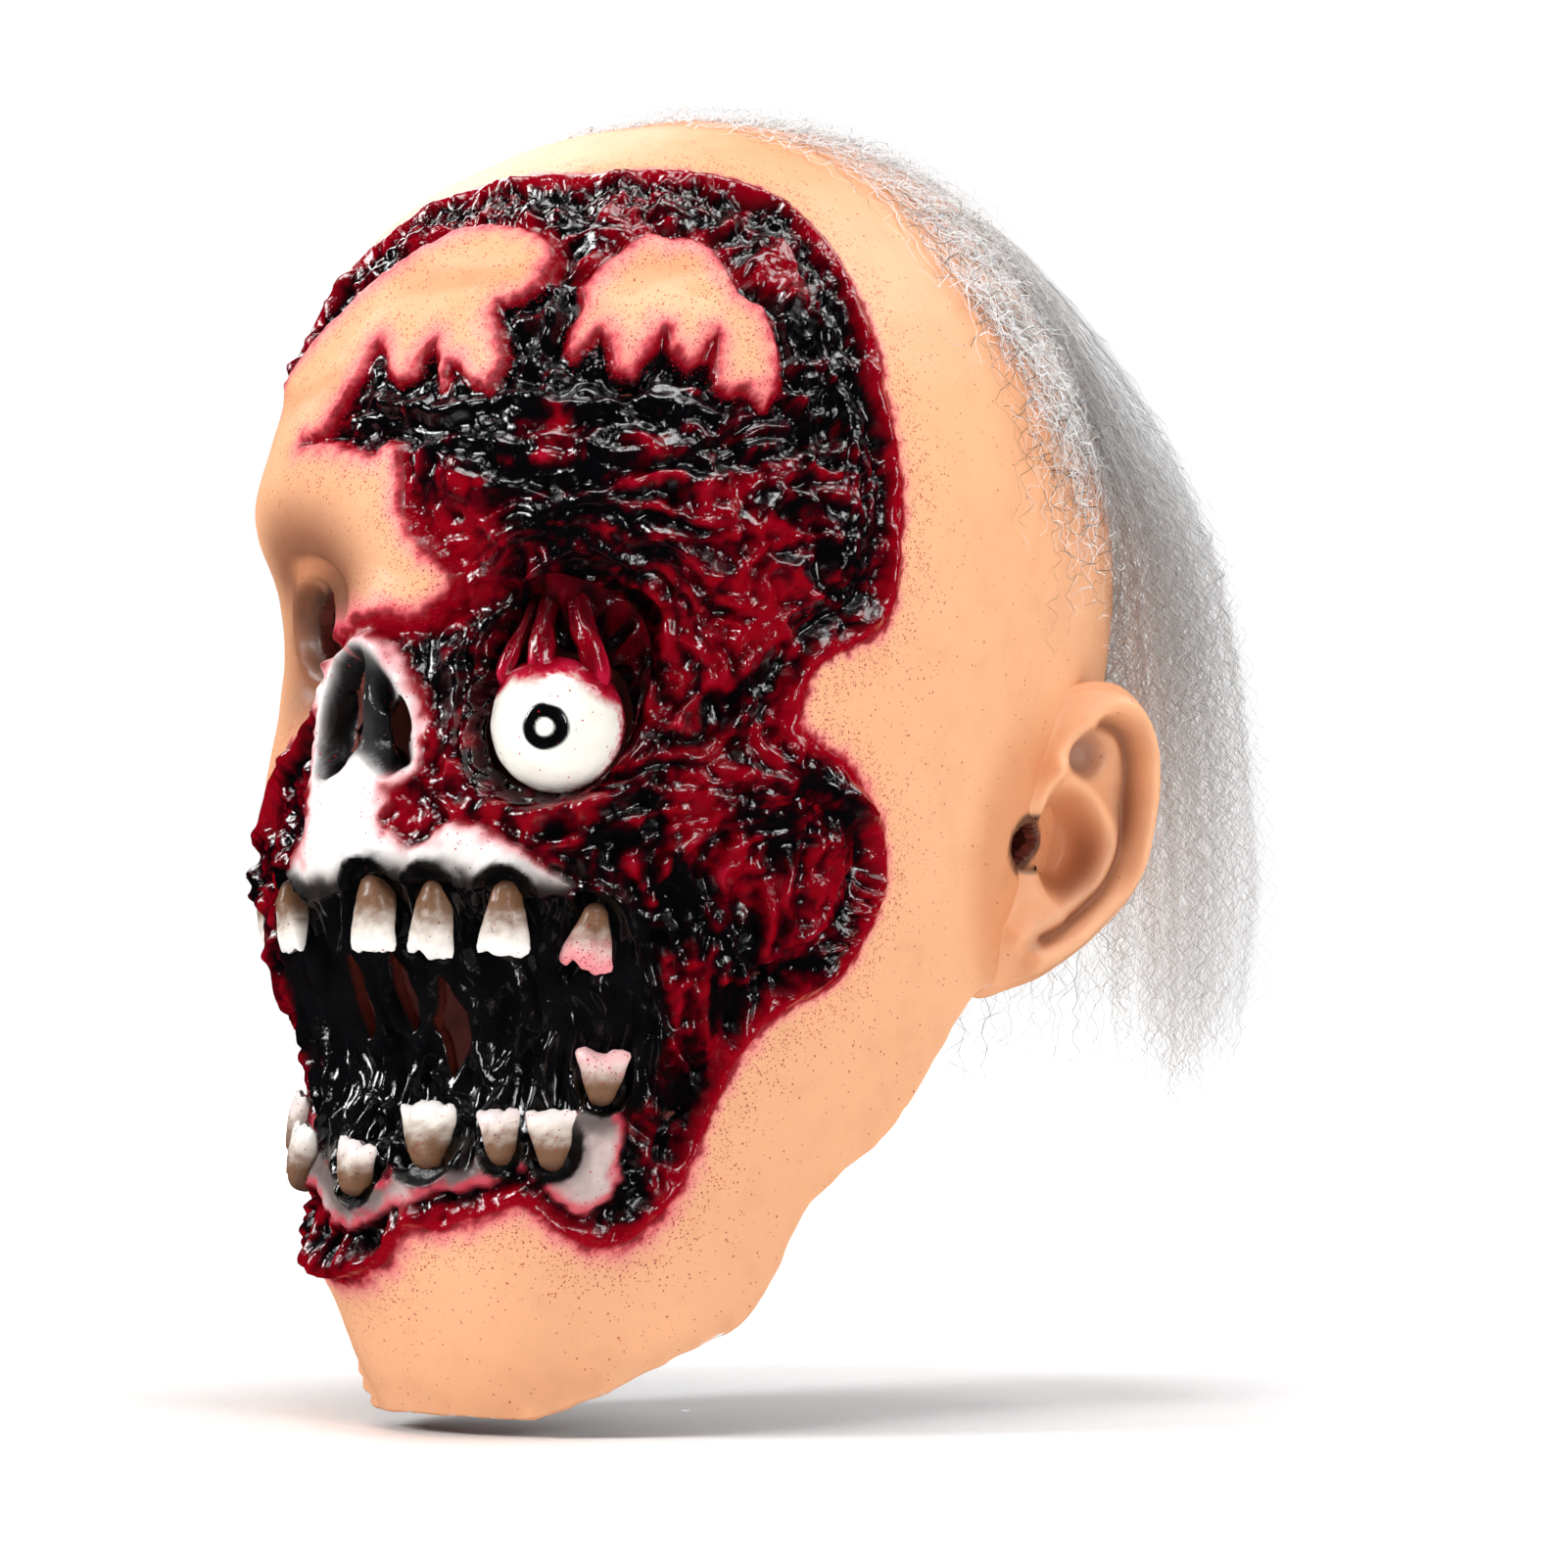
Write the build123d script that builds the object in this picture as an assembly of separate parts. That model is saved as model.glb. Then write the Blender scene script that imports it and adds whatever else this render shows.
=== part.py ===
from build123d import *
from math import cos, exp, radians, sin
import os

# Latex zombie mask that is worn over the whole head: a latex skin with a torn, built-up wound,
# a bared muzzle and jaw with separate teeth, an eyeball on flesh strands, two ears and crepe hair.
#
# Millimetres. +Z is up and the face looks along -Y, so +X is the mask's own left side.
# The origin is the middle of the wearer's head, level with the two ear holes.
# An azimuth is an angle about Z in degrees: 0 is straight ahead, 90 the left ear, -90 the right.

# The skin
SKIN = 2.5  # wall of the latex
CROWN, CHIN = 158.0, -127.0  # top of the skin, and the level down to which it is lofted
SECTION_STEP = 8.0  # height between two sections
SECTION_POINTS = 40  # points round one section
FRONT_POWER, BACK_POWER = 2.25, 2.15  # how square a section is in front and behind
HEAD_PROFILE = [  # height, half width, reach to the front, reach to the back
    (-127, 38, 74, 62),
    (-120, 45, 80, 66),
    (-110, 52, 83, 70),
    (-95, 59, 87, 72),
    (-80, 63, 89, 74),
    (-60, 66, 90, 77),
    (-40, 69, 91, 81),
    (-20, 71, 92, 87),
    (0, 74, 93, 94),
    (20, 77, 93, 100),
    (40, 80, 93, 104),
    (60, 82, 94, 105),
    (80, 81, 94, 102),
    (100, 77, 89, 96),
    (120, 68, 79, 86),
    (136, 56, 64, 73),
    (148, 41, 42, 56),
    (155, 25, 21, 38),
    (158, 8, 5, 18),
]
RELIEF = {  # azimuth, height, spread in degrees, spread in height, how far it stands out
    "brow_right": (-30, 70, 15, 9, 3),
    "brow_left": (30, 70, 16, 9, 3),
    "socket_right": (-27, 45, 10, 11, -11),
    "socket_left": (26, 44, 10, 11, -13),
    "cheekbone_right": (-45, 18, 14, 14, 1),
    "nose": (0, 34, 7, 16, 8),
    "muzzle": (0, -2, 20, 13, 9),
    "mouth_corner_right": (-42, -20, 12, 22, 7),
    "mouth_hollow": (6, -42, 24, 15, -8),
    "lower_tooth_ridge": (0, -70, 18, 8, 6),
    "lip_roll": (0, -86, 14, 7, 2),
    "lip_lump": (-20, -86, 16, 6, 3),
    "chin": (0, -108, 16, 12, 2),
    "torn_cheek_left": (62, -2, 11, 24, 6),
    "torn_cheek_right": (-62, -2, 11, 24, 3),
}
RIM = [  # lower edge of the skin from the side: Y and Z, from the chin round the jaw to the nape
    (-140, -123.5),
    (-78, -123.5),
    (-66, -113),
    (-50, -104),
    (-38, -97),
    (-34, -86),
    (-32, -76),
    (-11, -62),
    (4, -50),
    (10, -34),
    (40, -27),
    (140, -18),
]

# Face panels. Each is cut from the skin by an outline on an upright plane that faces PANEL_AZIMUTH,
# and is given as distances sideways and up. A panel takes what the ones before it have left.
PANEL_AZIMUTH = 8.0
WOUND = [
    (-60, 99), (-56, 113), (-45, 126), (-28, 138), (-8, 144.5), (17, 143.5), (38, 140), (55, 129),
    (67, 110), (75, 85), (77.5, 62), (75, 45), (69, 35), (66, 27), (72, 15), (73.5, 3), (70, -13),
    (65, -28), (54, -40), (48, -58), (39, -78), (29, -85), (22, -83), (15, -76), (6, -81),
    (-5, -86), (-16, -92), (-33, -93), (-48, -86), (-59, -68), (-66, -46), (-71, -24), (-72, -8),
    (-66, 3), (-55, 14), (-42, 26), (-35, 38), (-38, 54), (-50, 78),
]
FOREHEAD_SKIN = [  # skin left between the tear and the brow of the right eye
    (-70, 84), (-66, 104), (-46, 113), (-32, 119), (-18, 127), (2, 130), (13, 127), (17, 119),
    (10, 112), (10, 103), (7, 95), (3, 103), (-4, 106), (-8, 100), (-13, 98), (-19, 105),
    (-23, 97), (-28, 92), (-36, 87), (-27, 84), (-10, 83), (-6, 71), (2, 61), (2, 54), (-8, 48),
    (-21, 44), (-34, 40), (-60, 36), (-80, 60),
]
FOREHEAD_FLAP = [  # island of skin with a torn lower fringe
    (26, 107), (28, 117), (32, 125), (40, 127), (46, 124), (51, 116), (57, 111), (61, 104),
    (61, 95), (55, 95), (52, 105), (48, 99), (45, 99), (43, 106), (39, 99), (35, 98), (32, 105),
    (29, 103),
]
MUZZLE = [
    (-21, 50), (-9, 46), (-3, 36), (1, 22), (3, 12), (12, 3), (22, 2), (30, -8), (20, -9),
    (2, -7), (-12, -5), (-22, -7), (-33, -9), (-43, -13), (-45, -4), (-37, 4), (-35, 18),
    (-36, 32), (-32, 46),
]
MOUTH_WEB = [
    (-46, 0), (-12, 2), (16, 0), (32, -6), (39, -13), (40, -30), (38, -48), (35, -59), (27, -66),
    (11, -67), (-6, -72), (-22, -74), (-40, -68), (-53, -56), (-60, -38), (-57, -16),
]
JAW_BONE = [
    (36, -57), (37, -68), (31, -76), (22, -73), (12, -70), (-6, -77), (-20, -80), (-34, -77),
    (-48, -68), (-56, -54), (-40, -55), (-6, -60), (20, -60),
]
EYE_SOCKET = [
    (9.5, 41), (14, 51), (23, 56.5), (32, 55), (38, 49), (41.5, 38), (41, 25), (37, 14),
    (30, 8.5), (20, 8.5), (11, 13), (7.5, 26),
]
# Holes, as centre sideways, centre height, half width and half height on the same plane
EYE_HOLE = (-44, 46, 10, 6.5)
NOSTRILS = [(-26, 24, 4.2, 9.5), (-7, 23, 4.2, 10.5)]
MOUTH_SLITS = [(-26, -32, 3.4, 10), (-13, -31, 3.4, 9), (-2, -38, 4.4, 11)]

# Teeth: azimuth, height of the middle, width, length and lean in degrees
TOOTH_STAND = 4.6  # how far a tooth stands out from the skin
UPPER_TEETH = [
    (-36, -16, 8, 14, 6),
    (-17, -15, 10, 16, 2),
    (1, -14, 12.5, 17, 0),
    (9.5, -15, 11, 17, -4),
    (19, -15, 11.5, 16, -3),
    (29.5, -19, 11, 14, -10),
]
LOWER_TEETH = [
    (-34, -62, 8, 17, -14),
    (-22, -67, 9, 15, -12),
    (-4.5, -68, 11, 12, -10),
    (6, -61, 14, 15, 0),
    (16.5, -61, 9, 12, 6),
    (23.5, -61.5, 10.5, 13, 0),
    (30, -48.5, 11, 12, -4),
]

# The eyeball hangs from three strands at the top of the left socket
EYE_AZIMUTH, EYE_REACH, EYE_HEIGHT, EYE_RADIUS = 24.0, 89.0, 24.5, 14.5
STRAND_TOP_REACH, STRAND_TOP, STRAND_FOOT = 81.0, 54.0, 37.0
STRANDS = {  # sideways at the top, sideways at the foot, radius at the top, radius at the foot
    "inner": (-4.6, -9.0, 1.6, 2.6),
    "middle": (0.0, -0.5, 1.6, 2.8),
    "outer": (4.8, 9.5, 1.6, 2.6),
}

# Ears: a leaf whose outline is given back from the ear hole and up, on a plane that flares out
EAR_X, EAR_Y, EAR_FLARE = 71.0, 32.0, 25.0
EAR_OUTLINE = [
    (-7, 12), (-4, 25), (3, 32), (11, 35), (19, 35.5), (28, 33), (32.5, 25), (34.5, 14), (34, 2),
    (31, -9), (26, -17.5), (18, -23), (9, -27), (-2, -31), (-12, -33.5), (-17, -31), (-15, -24),
    (-11, -12),
]
EAR_HALF = 4.0  # half the thickness of the leaf
EAR_RIM = 0.78  # size of the hollow of the leaf, against its outline
EAR_HOLLOW = 4.5  # depth of that hollow
BOWL = (5.0, -1.0, 14.0, 19.0)  # middle back and up, half width and half height of the root
BOWL_DEPTH = 17.0
EAR_HOLE = 4.6  # radius

# Crepe hair: a cap on the crown and three locks that hang behind the head
HAIR_GAP, CAP_DEPTH = 0.4, 6.0
HAIRLINE = [  # front and lower edge of the cap from the side, Y and Z
    (-24, 180),
    (-20, 152),
    (-4, 143),
    (4, 130),
    (12, 113),
    (25, 94),
    (50, 84),
    (140, 76),
]
LOCK_WIDEST = 60.0  # the locks hang straight down from the outline of the head at this height
LOCK_SECTIONS = [  # height, inside and outside distance from that outline
    (75, 3.0, 6.5),
    (60, 3.5, 14.0),
    (40, 4.5, 20.0),
    (15, 5.5, 24.0),
    (-10, 6.5, 26.0),
    (-35, 8.0, 22.0),
    (-66, 10.0, 17.0),
]
LOCKS = {"left": (138, 165), "back": (165, 195), "right": (195, 222)}  # azimuths


def profile(height, column):
    """A column of HEAD_PROFILE at any height, on a smooth curve through its values."""
    rows = HEAD_PROFILE
    i = 0
    while i < len(rows) - 2 and height > rows[i + 1][0]:
        i += 1
    low, high = rows[i], rows[i + 1]
    before, after = rows[max(i - 1, 0)], rows[min(i + 2, len(rows) - 1)]
    span = high[0] - low[0]
    t = (height - low[0]) / span
    slope_low = (high[column] - before[column]) / (high[0] - before[0]) * span
    slope_high = (after[column] - low[column]) / (after[0] - low[0]) * span
    rise = 3 * t**2 - 2 * t**3
    bend = (t**3 - 2 * t**2 + t) * slope_low + (t**3 - t**2) * slope_high
    return low[column] * (1 - rise) + high[column] * rise + bend


def head_radius(azimuth, height):
    """Distance of the skin's outside from the Z axis."""
    across, ahead = sin(radians(azimuth)), cos(radians(azimuth))
    power = FRONT_POWER if ahead > 0 else BACK_POWER
    reach = profile(height, 2 if ahead > 0 else 3)
    side = abs(across / profile(height, 1)) ** power
    radius = (side + abs(ahead / reach) ** power) ** (-1 / power)
    for centre, level, spread, spread_up, stand in RELIEF.values():
        turn = (azimuth - centre + 180) % 360 - 180
        fall = (turn / spread) ** 2 + ((height - level) / spread_up) ** 2
        radius += stand * exp(-fall / 2)
    return radius


def polar(azimuth, radius, height):
    """The point at an azimuth, a distance from the Z axis and a height."""
    return Vector(radius * sin(radians(azimuth)), -radius * cos(radians(azimuth)), height)


def facing(azimuth):
    """Upright plane through the Z axis that faces an azimuth, with its X sideways and Y up."""
    sideways = (cos(radians(azimuth)), sin(radians(azimuth)), 0)
    return Plane(origin=(0, 0, 0), x_dir=sideways, z_dir=tuple(polar(azimuth, 1, 0)))


def head_solid(grow):
    """The whole head as one solid, with its surface moved outwards by grow."""
    middle = (CROWN + CHIN) / 2
    stretch = 1 + grow / (CROWN - middle)
    count = int((CROWN - 8 - CHIN) / SECTION_STEP) + 1
    heights = [CHIN + SECTION_STEP * i for i in range(count)] + [153.0, 156.0, CROWN]
    rings = []
    for height in heights:
        level = middle + (height - middle) * stretch
        turns = [360 * i / SECTION_POINTS for i in range(SECTION_POINTS)]
        points = [polar(turn, head_radius(turn, height) + grow, level) for turn in turns]
        shares = [i / SECTION_POINTS for i in range(SECTION_POINTS + 1)]
        rings.append(Wire(Edge.make_spline(points, periodic=True, parameters=shares)))
    return Solid.make_loft(rings)


def side_region(line):
    """Block of all that lies above a line of Y and Z points, seen from the side."""
    corners = [(y, z) for y, z in line] + [(line[-1][0], 200), (line[0][0], 200)]
    face = Face(Wire.make_polygon([Vector(-150, y, z) for y, z in corners], close=True))
    return Solid.extrude(face, Vector(300, 0, 0))


def outline(points, smooth=True):
    """Flat face inside an outline on the panels' plane."""
    plane = facing(PANEL_AZIMUTH)
    places = [plane.from_local_coords(Vector(across, up, 0)) for across, up in points]
    if smooth:
        return Face(Wire(Edge.make_spline(places, periodic=True)))
    return Face(Wire.make_polygon(places, close=True))


def oval(across, up, half_width, half_height):
    """Flat oval face on the panels' plane."""
    plane = facing(PANEL_AZIMUTH)
    shape = Ellipse(half_width, half_height)
    return (plane * Pos(across, up, 0) * shape).face()


def forwards(face):
    """Column that a flat face on the panels' plane sweeps out to the front of the head."""
    ahead = polar(PANEL_AZIMUTH, 1, 0)
    return Solid.extrude(face.moved(Location(ahead * 8)), ahead * 140)


def panel_columns():
    """Columns that cut the skin into panels, by name."""
    order = {
        "forehead_flap": outline(FOREHEAD_FLAP),
        "skull_muzzle": outline(MUZZLE),
        "mouth_web": outline(MOUTH_WEB),
        "jaw_bone": outline(JAW_BONE),
    }
    torn = forwards(outline(WOUND)) - forwards(outline(FOREHEAD_SKIN, smooth=False))
    columns = {"torn": torn}
    rest = torn
    for name, face in order.items():
        column = forwards(face)
        columns[name] = rest & column
        rest = rest - column
    columns["wound_panel"] = rest - forwards(outline(EYE_SOCKET))
    return columns


def ear_plane():
    """Plane of the left ear, with its origin at the ear hole, X back and Y up."""
    back = (sin(radians(EAR_FLARE)), cos(radians(EAR_FLARE)), 0)
    out = (cos(radians(EAR_FLARE)), -sin(radians(EAR_FLARE)), 0)
    return Plane(origin=(EAR_X, EAR_Y, 0), x_dir=back, z_dir=out)


def ear_hole():
    """Straight hole through the left ear and the skin behind it."""
    plane = ear_plane()
    circle = (plane * Pos(0, 0, -30) * Circle(EAR_HOLE)).face()
    return Solid.extrude(circle, plane.z_dir * 60)


def ear_leaf():
    """The left ear before it is fitted to the head."""
    plane = ear_plane()
    middle_x = sum(x for x, z in EAR_OUTLINE) / len(EAR_OUTLINE)
    middle_z = sum(z for x, z in EAR_OUTLINE) / len(EAR_OUTLINE)

    def leaf_face(scale, level):
        places = []
        for x, z in EAR_OUTLINE:
            place = Vector(middle_x + (x - middle_x) * scale, middle_z + (z - middle_z) * scale, level)
            places.append(plane.from_local_coords(place))
        return Face(Wire(Edge.make_spline(places, periodic=True)))

    def bowl_face(shrink, level):
        x, z, half_x, half_z = BOWL
        return (plane * Pos(x, z, level) * Ellipse(half_x - shrink, half_z - shrink)).face()

    out = plane.z_dir
    leaf = Solid.extrude(leaf_face(1.0, -EAR_HALF), out * 2 * EAR_HALF)
    root = Solid.extrude(bowl_face(0, -BOWL_DEPTH), out * BOWL_DEPTH)
    hollow = Solid.extrude(leaf_face(EAR_RIM, EAR_HALF - EAR_HOLLOW), out * 20)
    bowl = Solid.extrude(bowl_face(4, -BOWL_DEPTH + 6), out * 40)
    return leaf + root - hollow - bowl


def tooth(azimuth, height, width, length, lean, upper):
    """A tooth on the skin: narrow at the gum, widest near its free end, rounded in front."""
    down = -1 if upper else 1
    base = Plane(origin=polar(azimuth, head_radius(azimuth, height) - 3, height))
    base = Plane(origin=base.origin, x_dir=facing(azimuth).x_dir, z_dir=facing(azimuth).z_dir)
    base = base.rotated((0, 0, lean))
    rings = []
    for along, half, stand in [(-0.5, 0.30, 0.70), (-0.1, 0.46, 1.0), (0.3, 0.50, 0.9), (0.5, 0.38, 0.62)]:
        section = Plane(
            origin=base.from_local_coords(Vector(0, down * along * length, 0)),
            x_dir=base.x_dir,
            z_dir=base.y_dir,
        )
        ring = section * Ellipse(half * width, 3 + stand * TOOTH_STAND)
        rings.append(ring.wire())
    return Solid.make_loft(rings)


def eyeball():
    """The ball in front of the socket."""
    return Solid.make_sphere(EYE_RADIUS).moved(Location(polar(EYE_AZIMUTH, EYE_REACH, EYE_HEIGHT)))


def strand(top_side, foot_side, top_radius, foot_radius):
    """A tapered cord of flesh from the top of the socket to the ball."""
    sideways = facing(EYE_AZIMUTH).x_dir
    top = polar(EYE_AZIMUTH, STRAND_TOP_REACH, STRAND_TOP) + sideways * top_side
    foot = polar(EYE_AZIMUTH, EYE_REACH - 2, STRAND_FOOT - 3) + sideways * foot_side
    length = (top - foot).length
    cone = Solid.make_cone(foot_radius, top_radius, length, plane=Plane(origin=foot, z_dir=top - foot))
    return cone - eyeball()


def hair_cap(head):
    """The hair that is glued on the crown and the back of the head."""
    cap = head_solid(CAP_DEPTH) - head_solid(HAIR_GAP)
    return cap & side_region(HAIRLINE)


def hair_lock(start, stop):
    """A hanging lock between two azimuths."""
    sections = []
    for height, inside, outside in LOCK_SECTIONS:
        turns = [start + (stop - start) * i / 4 for i in range(5)]
        inner = [polar(t, head_radius(t, LOCK_WIDEST) + inside, height) for t in turns]
        outer = [polar(t, head_radius(t, LOCK_WIDEST) + outside, height) for t in reversed(turns)]
        edges = [
            Edge.make_spline(inner),
            Edge.make_line(inner[-1], outer[0]),
            Edge.make_spline(outer),
            Edge.make_line(outer[-1], inner[0]),
        ]
        sections.append(Wire(edges))
    return Solid.make_loft(sections, ruled=True)


def make_nodes():
    """Every sub-part by name."""
    head = head_solid(0)
    shell = (head - head_solid(-SKIN)) & side_region(RIM)
    columns = panel_columns()
    hole = ear_hole()
    holes = [hole, hole.mirror(Plane.YZ), forwards(oval(*EYE_HOLE))]

    nodes = {"head_skin": shell - columns["torn"] - holes}
    nodes["wound_panel"] = shell & columns["wound_panel"]
    nodes["forehead_flap"] = shell & columns["forehead_flap"]
    nodes["skull_muzzle"] = (shell & columns["skull_muzzle"]) - [forwards(oval(*n)) for n in NOSTRILS]
    nodes["mouth_web"] = (shell & columns["mouth_web"]) - [forwards(oval(*s)) for s in MOUTH_SLITS]
    nodes["jaw_bone"] = shell & columns["jaw_bone"]

    leaf = ear_leaf()
    nodes["ear_left"] = leaf - hole - head
    nodes["ear_right"] = leaf.mirror(Plane.YZ) - hole.mirror(Plane.YZ) - head

    for i, row in enumerate(UPPER_TEETH, 1):
        nodes[f"tooth_upper_{i}"] = tooth(*row, upper=True) - head
    for i, row in enumerate(LOWER_TEETH, 1):
        nodes[f"tooth_lower_{i}"] = tooth(*row, upper=False) - head

    nodes["eyeball"] = eyeball()
    for name, row in STRANDS.items():
        nodes[f"eye_strand_{name}"] = strand(*row)

    nodes["hair_cap"] = hair_cap(head)
    for name, row in LOCKS.items():
        nodes[f"hair_lock_{name}"] = hair_lock(*row)
    return nodes


os.makedirs("parts", exist_ok=True)
for name, shape in make_nodes().items():
    solids = shape.solids()
    print(name, "solids", [round(s.volume) for s in solids], [s.is_valid for s in solids])
    export_step(shape, f"parts/{name}.step")
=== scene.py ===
from math import cos, pi, radians, sin

import bpy
import numpy as np
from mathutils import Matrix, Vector
from mathutils.bvhtree import BVHTree


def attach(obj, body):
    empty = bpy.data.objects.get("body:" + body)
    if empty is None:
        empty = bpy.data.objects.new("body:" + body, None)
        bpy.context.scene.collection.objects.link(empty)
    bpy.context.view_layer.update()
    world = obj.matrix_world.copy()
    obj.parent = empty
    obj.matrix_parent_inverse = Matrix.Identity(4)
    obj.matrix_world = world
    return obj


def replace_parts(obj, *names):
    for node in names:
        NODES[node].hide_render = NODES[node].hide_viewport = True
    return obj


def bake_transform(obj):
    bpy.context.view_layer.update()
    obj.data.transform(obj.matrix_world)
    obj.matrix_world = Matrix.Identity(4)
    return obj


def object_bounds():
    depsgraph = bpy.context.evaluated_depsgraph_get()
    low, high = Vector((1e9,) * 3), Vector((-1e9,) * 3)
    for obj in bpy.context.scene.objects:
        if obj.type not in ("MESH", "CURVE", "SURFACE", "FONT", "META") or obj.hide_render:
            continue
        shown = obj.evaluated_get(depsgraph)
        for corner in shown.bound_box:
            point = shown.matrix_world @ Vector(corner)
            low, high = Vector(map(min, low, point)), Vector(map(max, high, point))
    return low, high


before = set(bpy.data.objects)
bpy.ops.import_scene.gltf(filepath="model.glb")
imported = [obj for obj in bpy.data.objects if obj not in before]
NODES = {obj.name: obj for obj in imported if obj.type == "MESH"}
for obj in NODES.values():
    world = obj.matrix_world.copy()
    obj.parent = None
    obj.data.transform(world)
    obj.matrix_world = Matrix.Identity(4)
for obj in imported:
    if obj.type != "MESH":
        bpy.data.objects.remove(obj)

# Latex zombie mask, +Z up, face towards -Y. Lengths are millimetres until a mesh is made, and metres for
# lights and the camera. Angles of azimuth are degrees from the front, positive to the mask's left.
# The skin is one grid of azimuth by height that is laid over the CAD shell, pushed in and out by
# noise and sculpted lines, coloured at each vertex, and cut into one piece for each CAD node.

MM = 0.001
CAD_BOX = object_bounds()
FINE = 1.0
PANEL = radians(8)  # outlines are drawn on an upright plane that faces this azimuth
U_PER_DEGREE = 1.5  # millimetres round the face for each degree of azimuth
UP = np.array([0, 0, 1.0])


# ---------------------------------------------------------------- noise
def lattice(ix, iy, iz, seed):
    """A number from 0 to 63 for each whole-numbered place."""
    h = (ix * 73856093) ^ (iy * 19349663) ^ (iz * 83492791) ^ (seed * 2654435)
    h = (h ^ (h >> 13)) * 1274126177 & 0xFFFFFFFF
    return (h ^ (h >> 15)) & 63


GRADIENTS = np.random.RandomState(7).normal(size=(64, 3))
GRADIENTS /= np.linalg.norm(GRADIENTS, axis=1)[:, None]


def noise(x, y, z, seed=0):
    """Smooth gradient noise, about -1 to 1."""
    x, y, z = np.broadcast_arrays(np.asarray(x, float), y, z)
    ix, iy, iz = (np.floor(c).astype(np.int64) for c in (x, y, z))
    fx, fy, fz = x - ix, y - iy, z - iz
    wx, wy, wz = (f * f * f * (f * (f * 6 - 15) + 10) for f in (fx, fy, fz))
    total = 0
    for dx in (0, 1):
        for dy in (0, 1):
            for dz in (0, 1):
                g = GRADIENTS[lattice(ix + dx, iy + dy, iz + dz, seed)]
                dot = g[..., 0] * (fx - dx) + g[..., 1] * (fy - dy) + g[..., 2] * (fz - dz)
                w = (wx if dx else 1 - wx) * (wy if dy else 1 - wy) * (wz if dz else 1 - wz)
                total = total + w * dot
    return total * 1.6


def fbm(x, y, z, octaves=3, seed=0):
    """Noise with finer and finer noise on it, about -1.5 to 1.5."""
    total, size = 0, 1.0
    for i in range(octaves):
        k = 2.03**i
        total = total + size * noise(x * k, y * k, z * k, seed + i * 11)
        size *= 0.5
    return total


def ridged(x, y, z, octaves=3, seed=0):
    """Sharp crests on soft valleys, 0 to about 1."""
    total, size, norm = 0, 1.0, 0
    for i in range(octaves):
        k = 2.1**i
        total = total + size * (1 - np.abs(noise(x * k, y * k, z * k, seed + i * 17))) ** 2
        norm += size
        size *= 0.45
    return total / norm


def step(value, low, high):
    """0 at low and 1 at high, smooth between; low may be the larger one."""
    t = np.clip((value - low) / (high - low), 0, 1)
    return t * t * (3 - 2 * t)


def bell(value, middle, width):
    return np.exp(-(((value - middle) / width) ** 2))


def mix(a, b, t):
    return a + (b - a) * np.asarray(t)[..., None]


def layered(colour, *layers):
    """Lays colours over the first one; each comes with how much of it shows."""
    for over, amount in layers:
        colour = mix(colour, over, amount)
    return colour


def srgb(r, g, b):
    """A colour as seen on a screen, made linear."""
    c = np.array([r, g, b], float) / 255
    return np.where(c <= 0.04045, c / 12.92, ((c + 0.055) / 1.055) ** 2.4)


# ---------------------------------------------------------------- the base surface
SHELL = ["head_skin", "wound_panel", "forehead_flap", "skull_muzzle", "mouth_web", "jaw_bone"]
# the skin's lower edge from the side, Y and Z
RIM = [(-140, -117), (-96, -117), (-84, -119.5), (-74, -120), (-64, -113.5), (-52, -106), (-40, -100),
       (-35, -90), (-32, -77), (-22, -69), (-10, -61.5), (3, -50), (9, -36), (20, -30), (60, -26),
       (140, -18)]
SAMPLE_Z = [-124 + 4 * i for i in range(66)] + [139, 142, 145, 148, 150.5, 152.5, 154, 155.5, 156.7, 157.7]
SAMPLE_STEP = 3  # degrees


def shell_tree():
    points, faces = [], []
    for name in SHELL:
        mesh = NODES[name].data
        first = len(points)
        points += [v.co / MM for v in mesh.vertices]
        faces += [[first + i for i in p.vertices] for p in mesh.polygons]
    return BVHTree.FromPolygons(points, faces)


def sample_radius():
    """Radius of the CAD shell on a coarse grid, with the holes filled in."""
    tree = shell_tree()
    grid = np.full((len(SAMPLE_Z), 360 // SAMPLE_STEP), np.nan)
    for j, z in enumerate(SAMPLE_Z):
        for i in range(grid.shape[1]):
            a = radians(i * SAMPLE_STEP - 180)
            out = Vector((sin(a), -cos(a), 0))
            hit = tree.ray_cast(out * 150 + Vector((0, 0, z)), -out, 150)[0]
            if hit is not None:
                r = hit.xy.length
                if r > (50 if z < 140 else 1):
                    grid[j, i] = r
    for _ in range(80):
        empty = np.isnan(grid)
        if not empty.any():
            break
        around = [np.roll(grid, 1, 1), np.roll(grid, -1, 1)]
        up, down = np.full_like(grid, np.nan), np.full_like(grid, np.nan)
        up[:-1], down[1:] = grid[1:], grid[:-1]
        stack = np.stack(around + [up, up, down])
        count = (~np.isnan(stack)).sum(0)
        guess = np.nansum(stack, 0) / np.maximum(count, 1)
        grid = np.where(empty & (count > 0), guess, grid)
    return grid


RADIUS = sample_radius()


def cubic(a, b, c, d, t):
    return b + 0.5 * t * (c - a + t * (2 * a - 5 * b + 4 * c - d + t * (3 * (b - c) + d - a)))


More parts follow.
